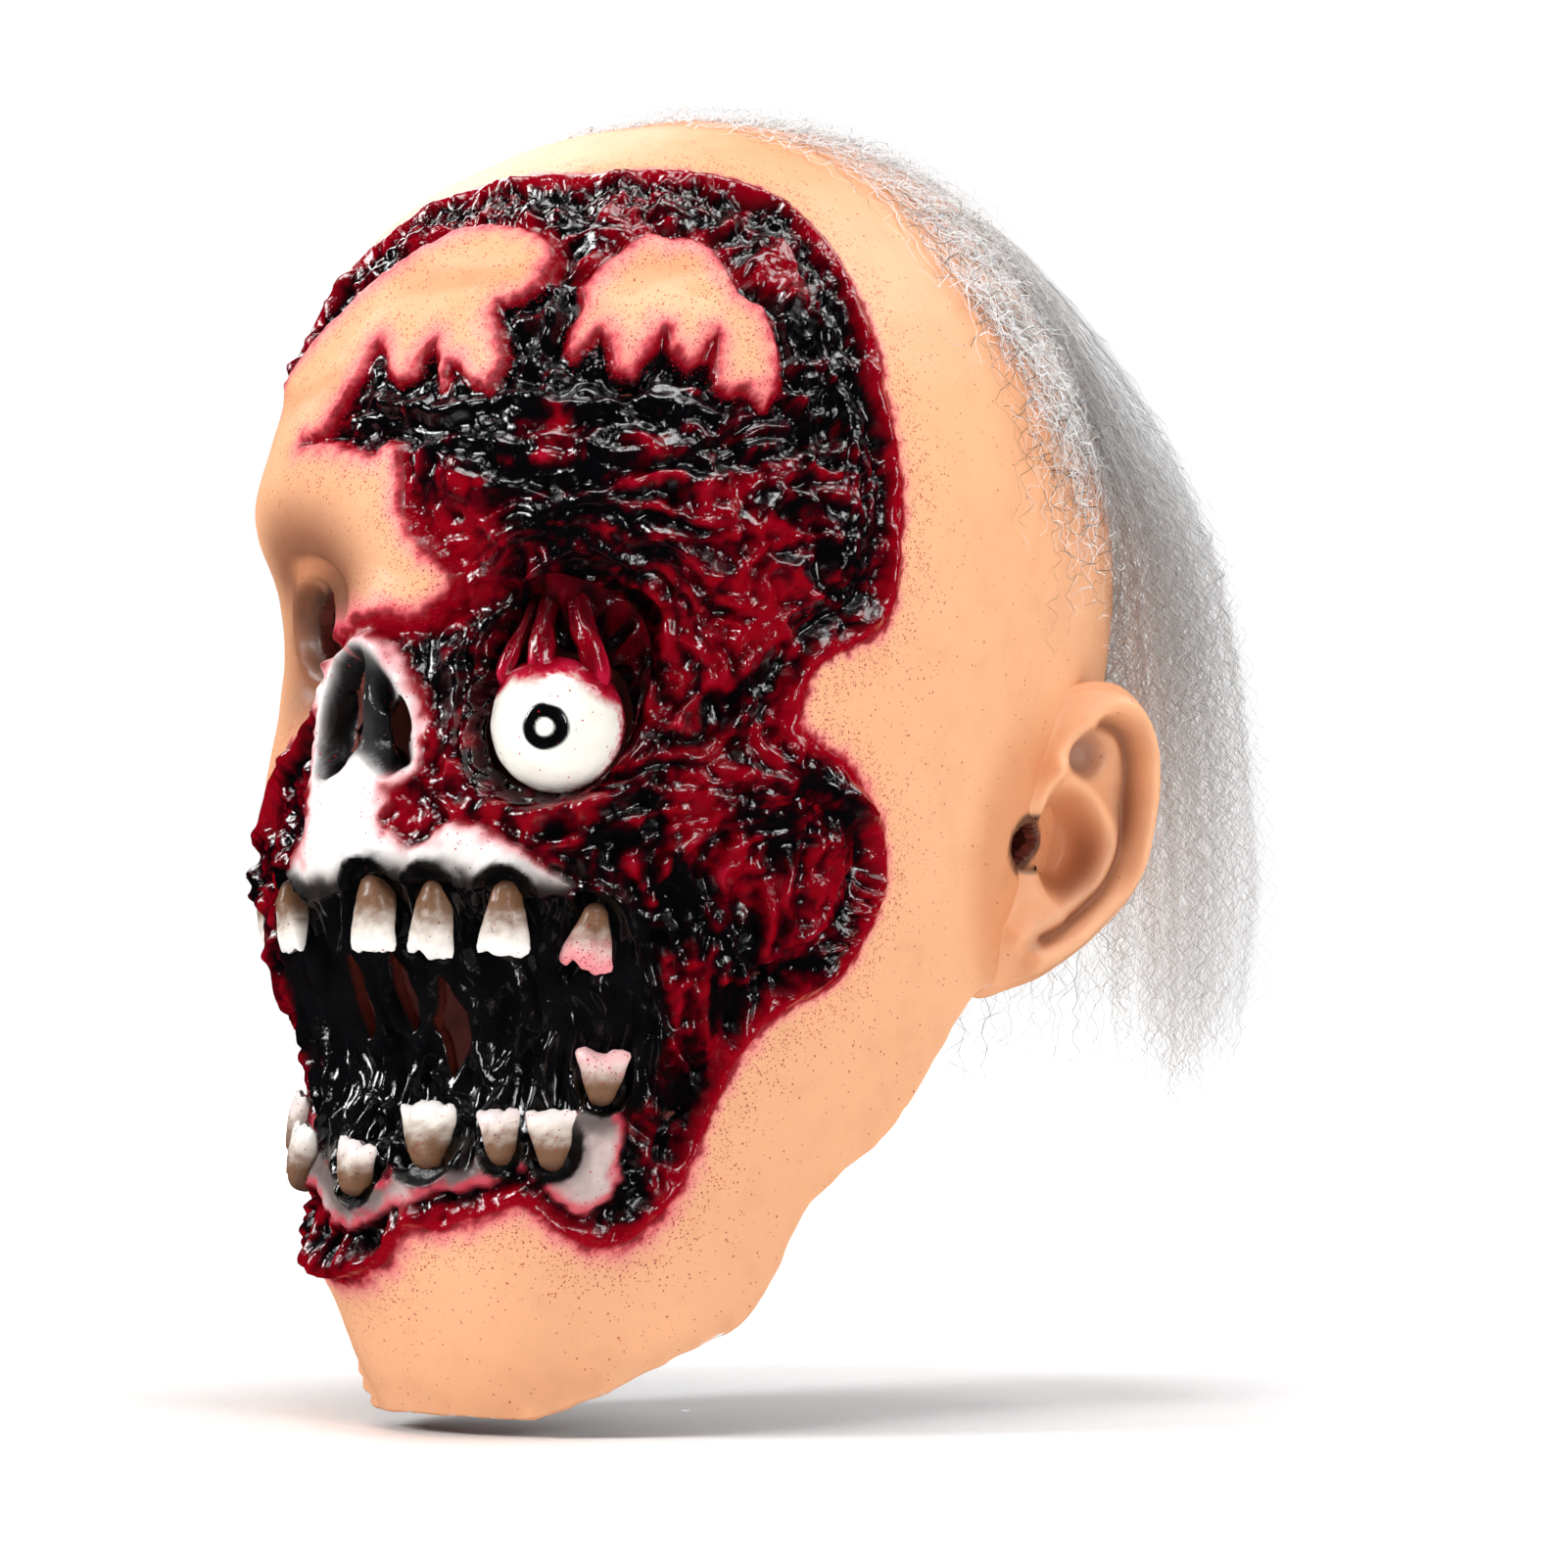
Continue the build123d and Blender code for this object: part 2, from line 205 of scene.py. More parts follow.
def base_radius(azimuth, height):
    """The CAD shell's outside radius at any azimuth and height."""
    col = (azimuth + 180) / SAMPLE_STEP
    row = np.interp(height, SAMPLE_Z, np.arange(len(SAMPLE_Z)))
    ic, ir = np.floor(col).astype(int), np.floor(row).astype(int)
    tc, tr = col - ic, row - ir
    rows = []
    for dr in (-1, 0, 1, 2):
        r = np.clip(ir + dr, 0, len(SAMPLE_Z) - 1)
        rows.append(cubic(*[RADIUS[r, (ic + dc) % RADIUS.shape[1]] for dc in (-1, 0, 1, 2)], tc))
    return cubic(*rows, tr)


def from_axis(radius, azimuth, z):
    """Points from their distance to the upright axis, their azimuth in degrees and their height."""
    a = np.radians(azimuth)
    return np.stack(np.broadcast_arrays(radius * np.sin(a), -radius * np.cos(a), z), -1)


def spread(stops):
    """Values from the first stop to the last, spaced by the step each stop names."""
    values = []
    for (start, gap), (end, _) in zip(stops, stops[1:]):
        count = max(1, round((end - start) / gap))
        values += [start + (end - start) * i / count for i in range(count)]
    return np.array(values)


COLUMNS = spread([(-180, 2.0), (-126, 1.0), (-96, 2.0), (-66, 0.42 * FINE), (86, 1.0), (128, 2.0), (180, 0)])
ROWS = spread([(-124, 1.2), (-97, 0.62 * FINE), (112, 0.5 * FINE), (132, 0.4 * FINE), (146, 0.5), (157.6, 0)])

AZ, Z = np.meshgrid(COLUMNS, ROWS)
AZR = np.radians(AZ)


def fit_rim(z):
    """Presses the lowest rows up to the skin's lower edge."""
    y = -base_radius(AZ, z) * np.cos(AZR)
    above = z - np.interp(y, *zip(*RIM))
    low = np.zeros(z.shape[1])
    for i in range(z.shape[1]):
        bad = np.nonzero(above[:, i] < 0)[0]
        k = bad[-1] if len(bad) else 0
        if len(bad):
            f = above[k, i] / (above[k, i] - above[k + 1, i])
            low[i] = z[k, i] + f * (z[k + 1, i] - z[k, i])
        else:
            low[i] = z[0, i]
    low = np.convolve(np.pad(low, 6, mode="wrap"), np.ones(13) / 13, "valid")
    low = low + 0.5 * noise(COLUMNS / 11, 0.3, 0.7, 5) + 0.10 * noise(COLUMNS / 2.5, 0.3, 0.7, 6)
    top = low + 60
    return np.where(z < top, low + (z - z[0]) * (top - low) / (top - z[0]), z)


Z = fit_rim(Z)
R = base_radius(AZ, Z)
BASE = from_axis(R, AZ, Z)


def grid_normals(points):
    across = np.roll(points, -1, 1) - np.roll(points, 1, 1)
    up = np.gradient(points, axis=0)
    n = np.cross(across, up)
    return n / np.maximum(np.linalg.norm(n, axis=2), 1e-9)[..., None]


NORMAL = grid_normals(BASE)
U = AZ * U_PER_DEGREE
FRONT_Z = np.linspace(-130, 158, 400)
FRONT_R = base_radius(np.zeros(400), FRONT_Z)
FRONT_SLOPE = np.clip(np.diff(FRONT_R), -9, 9) * (FRONT_Z[1:] > 90)  # only the crown is unrolled backwards
FRONT_V = np.concatenate([[0], np.cumsum(np.hypot(np.diff(FRONT_Z), FRONT_SLOPE))]) - 130
V = np.interp(Z, FRONT_Z, FRONT_V)
P = R * np.sin(AZR - PANEL)
TOWARDS = np.cos(AZR - PANEL)  # 1 where the skin faces the way the panel plane does
TURNS = np.arange(-82, 97, 0.5)  # azimuths from the right temple to the left ear


def azimuth_of(p, z):
    """Azimuth of a point that is given sideways and up on the panel plane."""
    reach = base_radius(TURNS, np.full(len(TURNS), float(z))) * np.sin(np.radians(TURNS) - PANEL)
    return np.interp(p, reach, TURNS)


def unroll(points):
    """Points given sideways and up on the panel plane, moved to the unrolled skin."""
    return np.array([(azimuth_of(p, z) * U_PER_DEGREE, np.interp(z, FRONT_Z, FRONT_V)) for p, z in points])


def rounded(points, closed=True, parts=5):
    """The same points with a smooth curve through them."""
    p = np.asarray(points, float)
    n = len(p)
    out = []
    for i in range(n if closed else n - 1):
        if closed:
            a, b, c, d = p[(i - 1) % n], p[i], p[(i + 1) % n], p[(i + 2) % n]
        else:
            a, b, c, d = p[max(i - 1, 0)], p[i], p[i + 1], p[min(i + 2, n - 1)]
        out += [cubic(a, b, c, d, k / parts) for k in range(parts)]
    if not closed:
        out.append(p[-1])
    return np.array(out)


def line_distance(line, closed=False, reach=14.0):
    """Distance on the unrolled skin to a line, and how far along it the nearest point is."""
    best = np.full(U.shape, reach)
    along = np.zeros(U.shape)
    lo, hi = line.min(0) - reach, line.max(0) + reach
    near = (U > lo[0]) & (U < hi[0]) & (V > lo[1]) & (V < hi[1])
    u, v = U[near], V[near]
    b, s = best[near], along[near]
    ends = np.roll(line, -1, 0) if closed else line[1:]
    for k, (p, q) in enumerate(zip(line, ends)):
        d = q - p
        t = np.clip(((u - p[0]) * d[0] + (v - p[1]) * d[1]) / max(d @ d, 1e-9), 0, 1)
        dist = np.hypot(u - p[0] - t * d[0], v - p[1] - t * d[1])
        s = np.where(dist < b, (k + t) / len(ends), s)
        b = np.minimum(b, dist)
    best[near], along[near] = b, s
    return best, along


def inside_distance(points, smooth=True, reach=26.0):
    """Distance to a closed outline on the unrolled skin, positive inside it."""
    line = unroll(points)
    if smooth:
        line = rounded(line)
    dist, _ = line_distance(line, closed=True, reach=reach)
    inside = np.zeros(U.shape, bool)
    lo, hi = line.min(0), line.max(0)
    near = (U > lo[0]) & (U < hi[0]) & (V > lo[1]) & (V < hi[1])
    u, v = U[near], V[near]
    odd = np.zeros(len(u), bool)
    for p, q in zip(line, np.roll(line, -1, 0)):
        cross = (p[1] > v) != (q[1] > v)
        where = p[0] + (v - p[1]) * (q[0] - p[0]) / (q[1] - p[1] if q[1] != p[1] else 1e-9)
        odd ^= cross & (u < where)
    inside[near] = odd
    return np.where(inside, dist, -dist)


# ---------------------------------------------------------------- regions, drawn one by one
WOUND = [(-60, 99), (-57, 110), (-49, 122), (-40, 129.5), (-28.5, 135.5), (-17, 140), (-2.5, 142),
         (12, 141.5), (23, 142.5), (34, 141.5), (41, 139.5), (48, 136), (54, 130.5), (60.3, 123),
         (66, 113.5), (69.8, 105), (73, 94.5), (75.2, 84.5), (76.6, 74), (76.8, 62), (76.3, 54), (75, 46.5),
         (72.8, 42.5), (70, 39), (67.8, 35), (66.6, 30), (66.2, 25), (68.2, 21.5), (70.8, 17.5),
         (72.3, 11.5), (72.6, 4.5), (71.8, -3.5), (70.3, -12), (68.8, -18), (66.7, -25), (62.6, -31.5),
         (57.5, -36), (54, -40.5), (51, -45.5), (48.7, -52.5), (46.3, -59.5), (44.4, -66.5), (42.4, -73),
         (38.5, -79), (34.4, -82.5), (30, -84), (25.7, -81.5), (21, -77), (17, -75), (10, -77.5), (2, -80),
         (-6.5, -81), (-13.5, -87.5), (-21.5, -90.5), (-33, -92), (-49, -85), (-61, -68), (-68, -46),
         (-73, -24), (-74, -8), (-68, 3), (-56, 14), (-42, 26), (-35, 38), (-38, 54), (-50, 78)]
BROW_SKIN = [(-80, 60), (-74, 84), (-62, 96), (-52, 104), (-44, 109), (-36, 114.5), (-28, 121), (-19, 126),
             (-11, 129.5), (-3.5, 130.5), (4.5, 130), (11.5, 128), (15.5, 126), (17.3, 122.5), (17, 116),
             (14.5, 114), (9.5, 112.5), (9.2, 110), (12.6, 105), (14, 101), (13.7, 98), (12, 94.5),
             (8.5, 95.5), (4, 99), (1.2, 100.5), (0.5, 95), (-1.5, 98.5), (-4, 105), (-7, 102), (-9, 98),
             (-12, 96.5), (-15.8, 99), (-18.5, 104), (-21.5, 105.5), (-23.3, 101), (-25.7, 96.5),
             (-28, 92.5), (-31, 90), (-33, 86.5), (-40, 85), (-28.5, 85), (-21.5, 83), (-15.3, 81.5),
             (-12.5, 84), (-9, 83.5), (-6.4, 78), (-7.2, 71.5), (-4.5, 65.5), (1.2, 59.5), (5.3, 56),
             (2.6, 51), (-1.5, 47.5), (-6, 47), (-11, 48), (-16, 47.5), (-19, 45.5), (-30, 42), (-60, 36)]
FLAP = [(25.8, 115), (27.3, 118.5), (28.6, 121.5), (30.5, 124), (33.5, 127.5), (38, 126.5), (41, 126.5),
        (45, 124), (48.5, 120), (52.3, 114.5), (56, 111.5), (59, 106.5), (61, 100), (62, 94), (60.8, 90.5),
        (58, 93.5), (55.5, 93.5), (54, 95), (52.5, 100), (51.5, 105.5), (50, 100), (48.8, 98.5),
        (46.5, 101), (43.5, 106), (42, 101.5), (40, 97.5), (37, 97.5), (35, 103), (32.5, 106), (30, 102.5),
        (28.5, 100.5), (26.6, 102), (26.7, 106), (27.6, 111.5)]
MUZZLE = [(-32, 40), (-23.5, 44), (-18, 46), (-11.7, 45), (-6.5, 41.5), (-3.5, 37), (0, 31), (1.2, 24),
          (1.5, 18), (1.3, 15), (-2.4, 12.8), (-5.3, 9.7), (-6.9, 5.3), (-4, 1.6), (-0.9, -0.3), (3.5, 2.2),
          (7, 5.3), (11.4, 5.3), (16.3, 3.5), (21, 1.6), (24.3, -1.5), (27.8, -5.2), (31.7, -9), (24, -12),
          (14, -11), (2, -9), (-12, -8), (-24, -11), (-34, -14), (-38, -8), (-35, 2), (-35, 14), (-37, 24),
          (-37, 34)]
WEB = [(-46, -5), (-39.5, -7.7), (-31.4, -10), (-22, -9), (-17, -5.8), (-11.3, -4.6), (-5.4, -5.8),
       (-1, -5.8), (4.2, -5.2), (9.2, -7), (14, -7.7), (19, -6.5), (23, -9), (28, -10.8), (33.3, -9.6),
       (40, -11.5), (42.5, -24), (41.5, -40), (38.5, -54), (34, -56.5), (26.5, -57), (26, -64.5),
       (24, -67.5), (19.2, -66.5), (16, -65), (11, -65), (6, -69.5), (0.5, -69), (-7, -66), (-11, -68.5),
       (-15, -72), (-26, -76), (-31, -71), (-41, -66.6), (-51, -59), (-57, -40), (-56, -18)]
JAW = [(34, -55), (35, -64.5), (33, -73), (28.6, -77), (25.5, -76), (21, -69.5), (17, -67), (12, -71),
       (6, -72), (0, -73), (-6.4, -75), (-14, -77.6), (-23, -81), (-31, -79.5), (-37, -75), (-47, -68),
       (-52, -58), (-40, -62), (-20, -70), (0, -64), (18, -60), (26, -54)]
SOCKET = [(9.5, 40), (13, 49), (19, 54.5), (27, 56), (35, 52), (40, 46), (42, 37), (41, 25), (37, 14.5),
          (31, 9), (20, 8.5), (11, 13), (7.5, 26)]
NOSE = [(-25, 39), (-19, 41.5), (-14, 41), (-9.6, 37), (-6, 31), (-4, 24), (-2.2, 17.5), (-4.5, 15.3),
        (-7.5, 14), (-11.2, 16.5), (-15.6, 19), (-21, 15.3), (-26.7, 13.4), (-30, 16), (-31.5, 26),
        (-29.5, 34.5)]
EYE_HOLE = (-43, 45.5, 12, 7.6)  # middle sideways, middle height, half width, half height
NOSTRILS = [(-18.5, 29, 3.2, 8.0), (-5.6, 23.5, 2.3, 7.8)]
SLITS = [(-26, -32, 3.3, 10), (-13, -31, 3.2, 9), (-2, -38, 4.4, 11)]
EAR_HOLES = [(113.5, 0, 4.6), (-113.5, 0, 4.6)]  # azimuth, height, radius

rag = 0.9 * noise(U / 4.5, V / 4.5, 0.5, 1) + 0.5 * noise(U / 1.7, V / 1.7, 0.5, 2)
d_wound = inside_distance(WOUND) + rag * 0.6
d_brow = inside_distance(BROW_SKIN, smooth=False) + rag * 0.7
d_flap = inside_distance(FLAP, smooth=False) + rag * 0.6
d_bone = inside_distance(MUZZLE) + rag * 1.2
d_web = inside_distance(WEB) + rag
d_jaw = inside_distance(JAW) + rag
d_socket = inside_distance(SOCKET)
d_nose = inside_distance(NOSE)
island = np.maximum(d_brow, d_flap)  # positive on skin that is left inside the wound
torn = np.minimum(d_wound, -island)  # distance from the nearest skin, positive in the wound


def oval(p0, z0, half_p, half_z):
    """1 on an upright oval that is drawn on the panel plane, less inside it."""
    return np.hypot((P - p0) / half_p, (Z - z0) / half_z)


def on_front(gap):
    """The same distance, but far from any hole on the back of the head."""
    return np.where(TOWARDS > 0.2, gap, 30.0)


def oval_distance(p0, z0, half_p, half_z):
    """Rough distance to an upright opening, negative inside it."""
    return on_front((oval(p0, z0, half_p, half_z) - 1) * min(half_p, half_z))


holes = oval_distance(*EYE_HOLE)
for row in NOSTRILS:
    holes = np.minimum(holes, oval_distance(*row))
for p0, z0, half_p, half_z in SLITS:
    wave = 0.6 * noise(Z / 5, p0, 0.2, 9)
    lens = np.abs(P - p0 - wave) - half_p * np.clip(1 - (np.abs(Z - z0) / half_z) ** 1.7, -1, 1)
    holes = np.minimum(holes, on_front(lens))
for a0, z0, radius in EAR_HOLES:
    turn = np.radians((AZ - a0 + 180) % 360 - 180)
    other_side = np.where(np.cos(turn) < 0, 99, 0)
    holes = np.minimum(holes, np.hypot(R * np.sin(turn) / 1.15, Z - z0) - radius + other_side)
GAP = np.minimum(holes, -d_socket)  # distance to the nearest opening, negative inside it


def slide_to_edge(points, gap, reach=0.45 * FINE):
    """Moves the grid's points that are next to a hole onto its edge, so that the edge is smooth."""
    up = np.gradient(points, axis=0)
    side = (np.roll(points, -1, 1) - np.roll(points, 1, 1)) / 2
    du = np.linalg.norm(side, axis=2)
    dv = np.linalg.norm(up, axis=2)
    gu = (np.roll(gap, -1, 1) - np.roll(gap, 1, 1)) / 2 / du
    gv = np.gradient(gap, axis=0) / dv
    size = np.maximum(gu**2 + gv**2, 0.05)
    near = np.abs(gap) < reach * np.sqrt(size)
    move_side = (side / du[..., None]) * (gu * gap / size)[..., None]
    move_up = (up / dv[..., None]) * (gv * gap / size)[..., None]
    return np.where(near[..., None], points - (move_side + move_up), points)


# ---------------------------------------------------------------- sculpting
def blurred(values, size):
    """Averages over a square of that many grid steps each way; the columns run all the way round."""
    width = 2 * size + 1
    for axis, edge in ((0, "edge"), (1, "wrap")):
        around = [(size, size) if axis == k else (0, 0) for k in (0, 1)]
        sums = np.cumsum(np.pad(values, around, mode=edge), axis=axis)
        sums = np.insert(sums, 0, 0, axis=axis)
        count = sums.shape[axis] - width
        ahead = np.take(sums, range(width, width + count), axis)
        values = (ahead - np.take(sums, range(count), axis)) / width
    return values


RIDGES = [  # points on the panel plane, width, height
    ([(14, 44), (17, 52), (22, 57), (28, 61), (34, 62), (39, 59), (43, 54), (47, 47)], 1.9, 3.4),
    ([(10, 40), (11, 52), (17, 62), (27, 69), (38, 70), (48, 64), (54, 55)], 2.4, 2.2),
    ([(45, 62), (50, 57), (57, 56), (62, 61), (60, 68), (53, 70)], 1.6, 2.0),
    ([(24, 5.5), (32, 6.5), (39, 10), (44, 17), (46, 24)], 2.0, 3.0),
    ([(13, 4), (21, 1), (31, 1), (41, 5), (47, 12)], 1.8, 2.2),
    ([(54, 46), (52, 38), (50, 30), (48, 22), (52, 14)], 1.7, 2.6),
    ([(60, 48), (58, 40), (60, 30), (57, 22), (61, 14)], 1.5, 2.0),
    ([(57, 119), (60, 108), (64, 98), (66, 90), (68, 84), (66, 74)], 1.7, 2.6),
    ([(61, 116), (66, 103), (70, 92), (71, 84), (69, 78)], 1.1, 2.2),
    ([(57, 78), (59, 67), (60, 58), (64, 50)], 1.6, 2.2),
    ([(66, 74), (70, 68), (69, 60), (64, 58), (62, 66), (66, 74)], 1.6, 2.4),
    ([(39, -12), (39.5, -26), (40.5, -35), (43, -43), (46, -52)], 0.8, 2.6),
    ([(40.5, -35), (40.5, -40), (39.5, -50), (39.5, -60)], 0.7, 2.2),
    ([(44, -14), (46, -26), (48, -38), (47, -48)], 0.9, 1.6),
    ([(63, 22), (67, 15), (72, 8), (73, 0), (70, -12), (65, -24), (58, -34)], 2.6, 3.0),
    ([(62, 16), (66, 9), (66, 1), (63, -8), (57, -18)], 2.2, 2.6),
    ([(55, 10), (58, 2), (56, -7), (50, -16), (48, -26)], 2.0, 2.2),
    ([(48, 2), (49, -6), (52, -13), (54, -22), (55, -32)], 1.5, 2.0),
    ([(-52, -78), (-36, -88), (-22, -88), (-10, -84), (0, -79)], 2.6, 2.6),
    ([(14, -73), (22, -79), (30, -81), (37, -76)], 1.6, 1.8),
    ([(-20, -84), (-30, -90), (-40, -86)], 3.2, 2.8),
    ([(10, 118), (20, 116), (22, 106), (18, 98)], 1.6, 2.0),
    ([(-25, 88), (-12, 92), (2, 90), (16, 93), (30, 90), (44, 92), (58, 88)], 1.8, 2.2),
    ([(-4, 80), (6, 84), (18, 82), (30, 84), (42, 80), (52, 82)], 1.5, 1.8),
    ([(4, 74), (12, 72), (22, 76), (34, 76)], 1.6, 1.8),
    ([(8, 60), (7, 48), (4, 38), (6, 26), (4, 16)], 1.6, 2.2),
    ([(-24, -26), (-21, -38), (-22, -50), (-18, -62)], 1.0, 1.6),
    ([(-18, -24), (-18, -36), (-15, -48), (-20, -60), (-16, -68)], 1.2, 1.8),
    ([(-8, -20), (-8, -32), (-9, -44), (-14, -54), (-12, -64)], 1.3, 2.0),
    ([(-7, -46), (-4, -52), (1, -54), (4, -60)], 1.0, 1.8),
    ([(4, -22), (5, -32), (4, -44), (8, -52), (7, -62)], 1.4, 2.2),
    ([(12, -22), (16, -30), (12, -42), (6, -50)], 1.2, 1.8),
    ([(18, -24), (20, -34), (19, -46), (16, -58)], 1.1, 1.6),
    ([(24, -26), (25, -38), (23, -50), (24, -60)], 1.0, 1.5),
    ([(31, -26), (32, -38), (29, -50), (30, -58)], 1.1, 1.6),
    ([(-34, -24), (-36, -38), (-32, -52), (-36, -62)], 1.4, 1.8),
]
DENTS = [  # centre on the panel plane, half width, half height, depth
    (12, 33, 3, 8, 2.0), (39, 40, 4, 10, 3.5), (28, 74, 9, 3, 2.0), (19, 123, 5, 5, 2.0),
    (64, 106, 2.5, 9, 2.2), (70, 62, 2, 8, 2.5), (43, -60, 3, 8, 2.0), (54, 20, 4, 4, 2.0),
    (66, -1, 2.2, 3.5, 3.0), (-18, 92, 7, 2.5, 1.6), (48, 95, 8, 3, 1.5), (30, 0, 7, 2, 1.5),
    (56, 84, 4, 4, 1.6), (22, 90, 6, 3, 1.4), (-38, 118, 5, 4, 1.2),
]
TEETH = [  # azimuth, height, width, length, lean in degrees, row: 1 upper, -1 lower
    (-36, -16, 8, 14, 6, 1), (-17, -15, 9, 16, 2, 1), (1, -14, 12.5, 17, 0, 1), (9.5, -15, 11, 17, -4, 1),
    (19, -15, 11.5, 16, -3, 1), (29.5, -19, 11, 14, -10, 1), (-34, -62, 8, 17, -14, -1),
    (-22, -67, 9, 15, -12, -1), (-4.5, -68, 11, 12, -10, -1), (6, -61, 14, 15, 0, -1),
    (16.5, -61, 9, 12, 6, -1), (23.5, -61.5, 10.5, 13, 0, -1), (30, -48.5, 11, 12, -4, -1),
]

x, y, z = np.moveaxis(BASE, -1, 0)


def skin_noise(size, seed):
    """Noise in the space of the head, with lumps of about this many millimetres."""
    return noise(x / size, y / size, z / size, seed)


def flat_noise(size, z0, seed):
    """Noise on the unrolled skin."""
    return noise(U / size, V / size, z0, seed)


warp = skin_noise(13, 21), skin_noise(13, 22)
su, sv = U + 5 * warp[0], V + 5 * warp[1]
# strands run along the level lines of "across":
# round the rim, round the socket, down the cheek and along the brow
around_eye = np.hypot((su - 37) / 1.05, sv - 32)
rim_w = step(d_wound, 16, 5) * step(V, -30, 0)
eye_w = step(around_eye, 42, 24)
low_w = step(V, 22, -2)
across = sv + (around_eye - sv) * eye_w
across = across + (su * 1.1 - across) * low_w
across = across + (d_wound + 3 * warp[0] - across) * rim_w
strand = ridged(across / 7.4, su / 20, sv / 20, 2, 31)
thread = ridged(across / 3.6 + 0.6 * noise(su / 7, sv / 7, 0.3, 38), su / 12, sv / 12, 2, 37)
lump = fbm(su / 17, sv / 17, 0.3, 3, 41)
blob = fbm(su / 6.0, sv / 6.0, z / 30, 2, 43)
knot = ridged(su / 5.0 + 0.5 * warp[1], sv / 5.0 - 0.5 * warp[0], z / 40, 1, 45)
crumple = ridged(su / 8.0, sv / 8.0, z / 30, 2, 44)
terrace = across / 7.5 + 1.0 * noise(su / 10, sv / 10, 0.1, 47) + 0.35 * noise(su / 3.5, sv / 3.5, 0.1, 48)
terrace = terrace - np.floor(terrace)
terrace = np.where(terrace < 0.8, terrace / 0.8, (1 - terrace) / 0.2)
tiny = ridged(x / 1.7, y / 1.7, z / 1.7, 2, 53)
torn_height = -1.6 + 2.2 * lump + 4.6 * (strand - 0.55) + 1.6 * (crumple - 0.5) + 1.5 * (terrace - 0.5)
torn_height = torn_height + 1.2 * blob + 0.9 * (thread - 0.5) + 1.0 * (knot - 0.5) + 0.1 * (tiny - 0.5)
torn_height = torn_height - 1.6 * bell(d_wound, 7.5, 3.2)
torn_height = torn_height * (1 - 0.5 * step(AZ, -34, -50)) - 1.6 * step(AZ, -40, -54)
in_mouth = step(d_web, -2, 0)
cords = ridged(su / 7.5 + 0.5 * noise(su / 9, sv / 16, 0.5, 62), sv / 34, 0.2, 2, 61)
web_height = -1.8 + 6.0 * (cords - 0.5) + 1.6 * (ridged(su / 3.8, sv / 26, 0.6, 2, 63) - 0.5) + 0.5 * blob
slit_edge = step(holes, 4.5, 0.8) * in_mouth
web_height = web_height * (1 - slit_edge) + 1.1 * bell(holes, 2.2, 1.5) * in_mouth
bone_height = 0.5 * fbm(x / 9, y / 9, z / 9, 3, 71) + 0.25 * skin_noise(2.2, 73)

ridge_height = np.zeros(U.shape)
for points, width, height in RIDGES:
    line = rounded(unroll(points), closed=False, parts=6)
    dist, along = line_distance(line, reach=width * 4 + 1)
    taper = np.clip(np.minimum(along, 1 - along) * 8, 0.15, 1)
    knots = 1 + 0.3 * noise(along * 9, width, 0.5, 81)
    ridge_height = np.maximum(ridge_height, height * taper * knots * np.exp(-((dist / (width * knots)) ** 2)))
dent_depth = np.zeros(U.shape)
for p0, z0, half_p, half_z, depth in DENTS:
    (u0, v0), = unroll([(p0, z0)])
    dent_depth += depth * np.exp(-(((U - u0) / (1.5 * half_p)) ** 2) - ((V - v0) / (1.3 * half_z)) ** 2)

in_torn = step(torn, 0.3, 3.0)
in_web = step(d_web, -0.8, 1.6) * step(torn, 0, 1)
behind_web = step(d_web, 0.5, 2.5) * (d_bone < d_web)
in_bone = step(np.maximum(d_bone, d_jaw), -0.6, 1.2) * step(torn, -0.5, 0.8) * (1 - behind_web)
lip = 1.9 * bell(d_wound, 2.2, 1.9) * step(island, 3, -3) * (0.75 + 0.5 * noise(su / 8, sv / 8, 0.4, 91))
overhang = 1.3 * step(island, -0.3, 0.9) * step(island, 14, 2) - 1.5 * bell(island, -2.2, 1.6)
overhang = overhang * step(d_wound, 0, 3)
mixed = blurred(torn_height, 1) * (1 - in_web) + blurred(web_height, 1) * in_web
mixed = mixed * (1 - in_bone) + bone_height * in_bone
height = mixed * in_torn + lip + overhang
height += (ridge_height - dent_depth) * in_torn * (1 - in_bone)

# black gum collars round the teeth
collar = np.zeros(U.shape)
gum_dark = np.zeros(U.shape)
for a0, z0, width, length, lean, side in TEETH:
    u0, v0 = a0 * U_PER_DEGREE, np.interp(z0, FRONT_Z, FRONT_V)
    c, s = cos(radians(lean)), sin(radians(lean))
    lu, lv = (U - u0) * c + (V - v0) * s, -(U - u0) * s + (V - v0) * c
    q = np.hypot(lu / (width * 0.5), (lv - side * length * 0.12) / (length * 0.5))
    collar = np.maximum(collar, bell(q, 1.18, 0.16) * step(lv * side, -length * 0.2, length * 0.25))
    dark = step(q + 0.08 * flat_noise(1.5, 0.3, 93), 1.26, 1.12) * step(lv * side, -length * 0.6, 0.0)
    gum_dark = np.maximum(gum_dark, dark)
height += 1.7 * collar * in_torn
# the nose cavity with its septum and raised rim, and a ridge round the left eye socket
septum = bell(P, -14.5 + 0.06 * (Z - 25), 3.0) * step(Z, 10, 20)
nose_w = step(d_nose, -0.5, 3.5)
height -= 6.5 * nose_w * (1 - 0.85 * septum)
height += 1.1 * bell(d_nose, -1.2, 1.6) * step(torn, 0, 1)
height += 1.8 * bell(d_socket, -1.5, 2.4) * in_torn
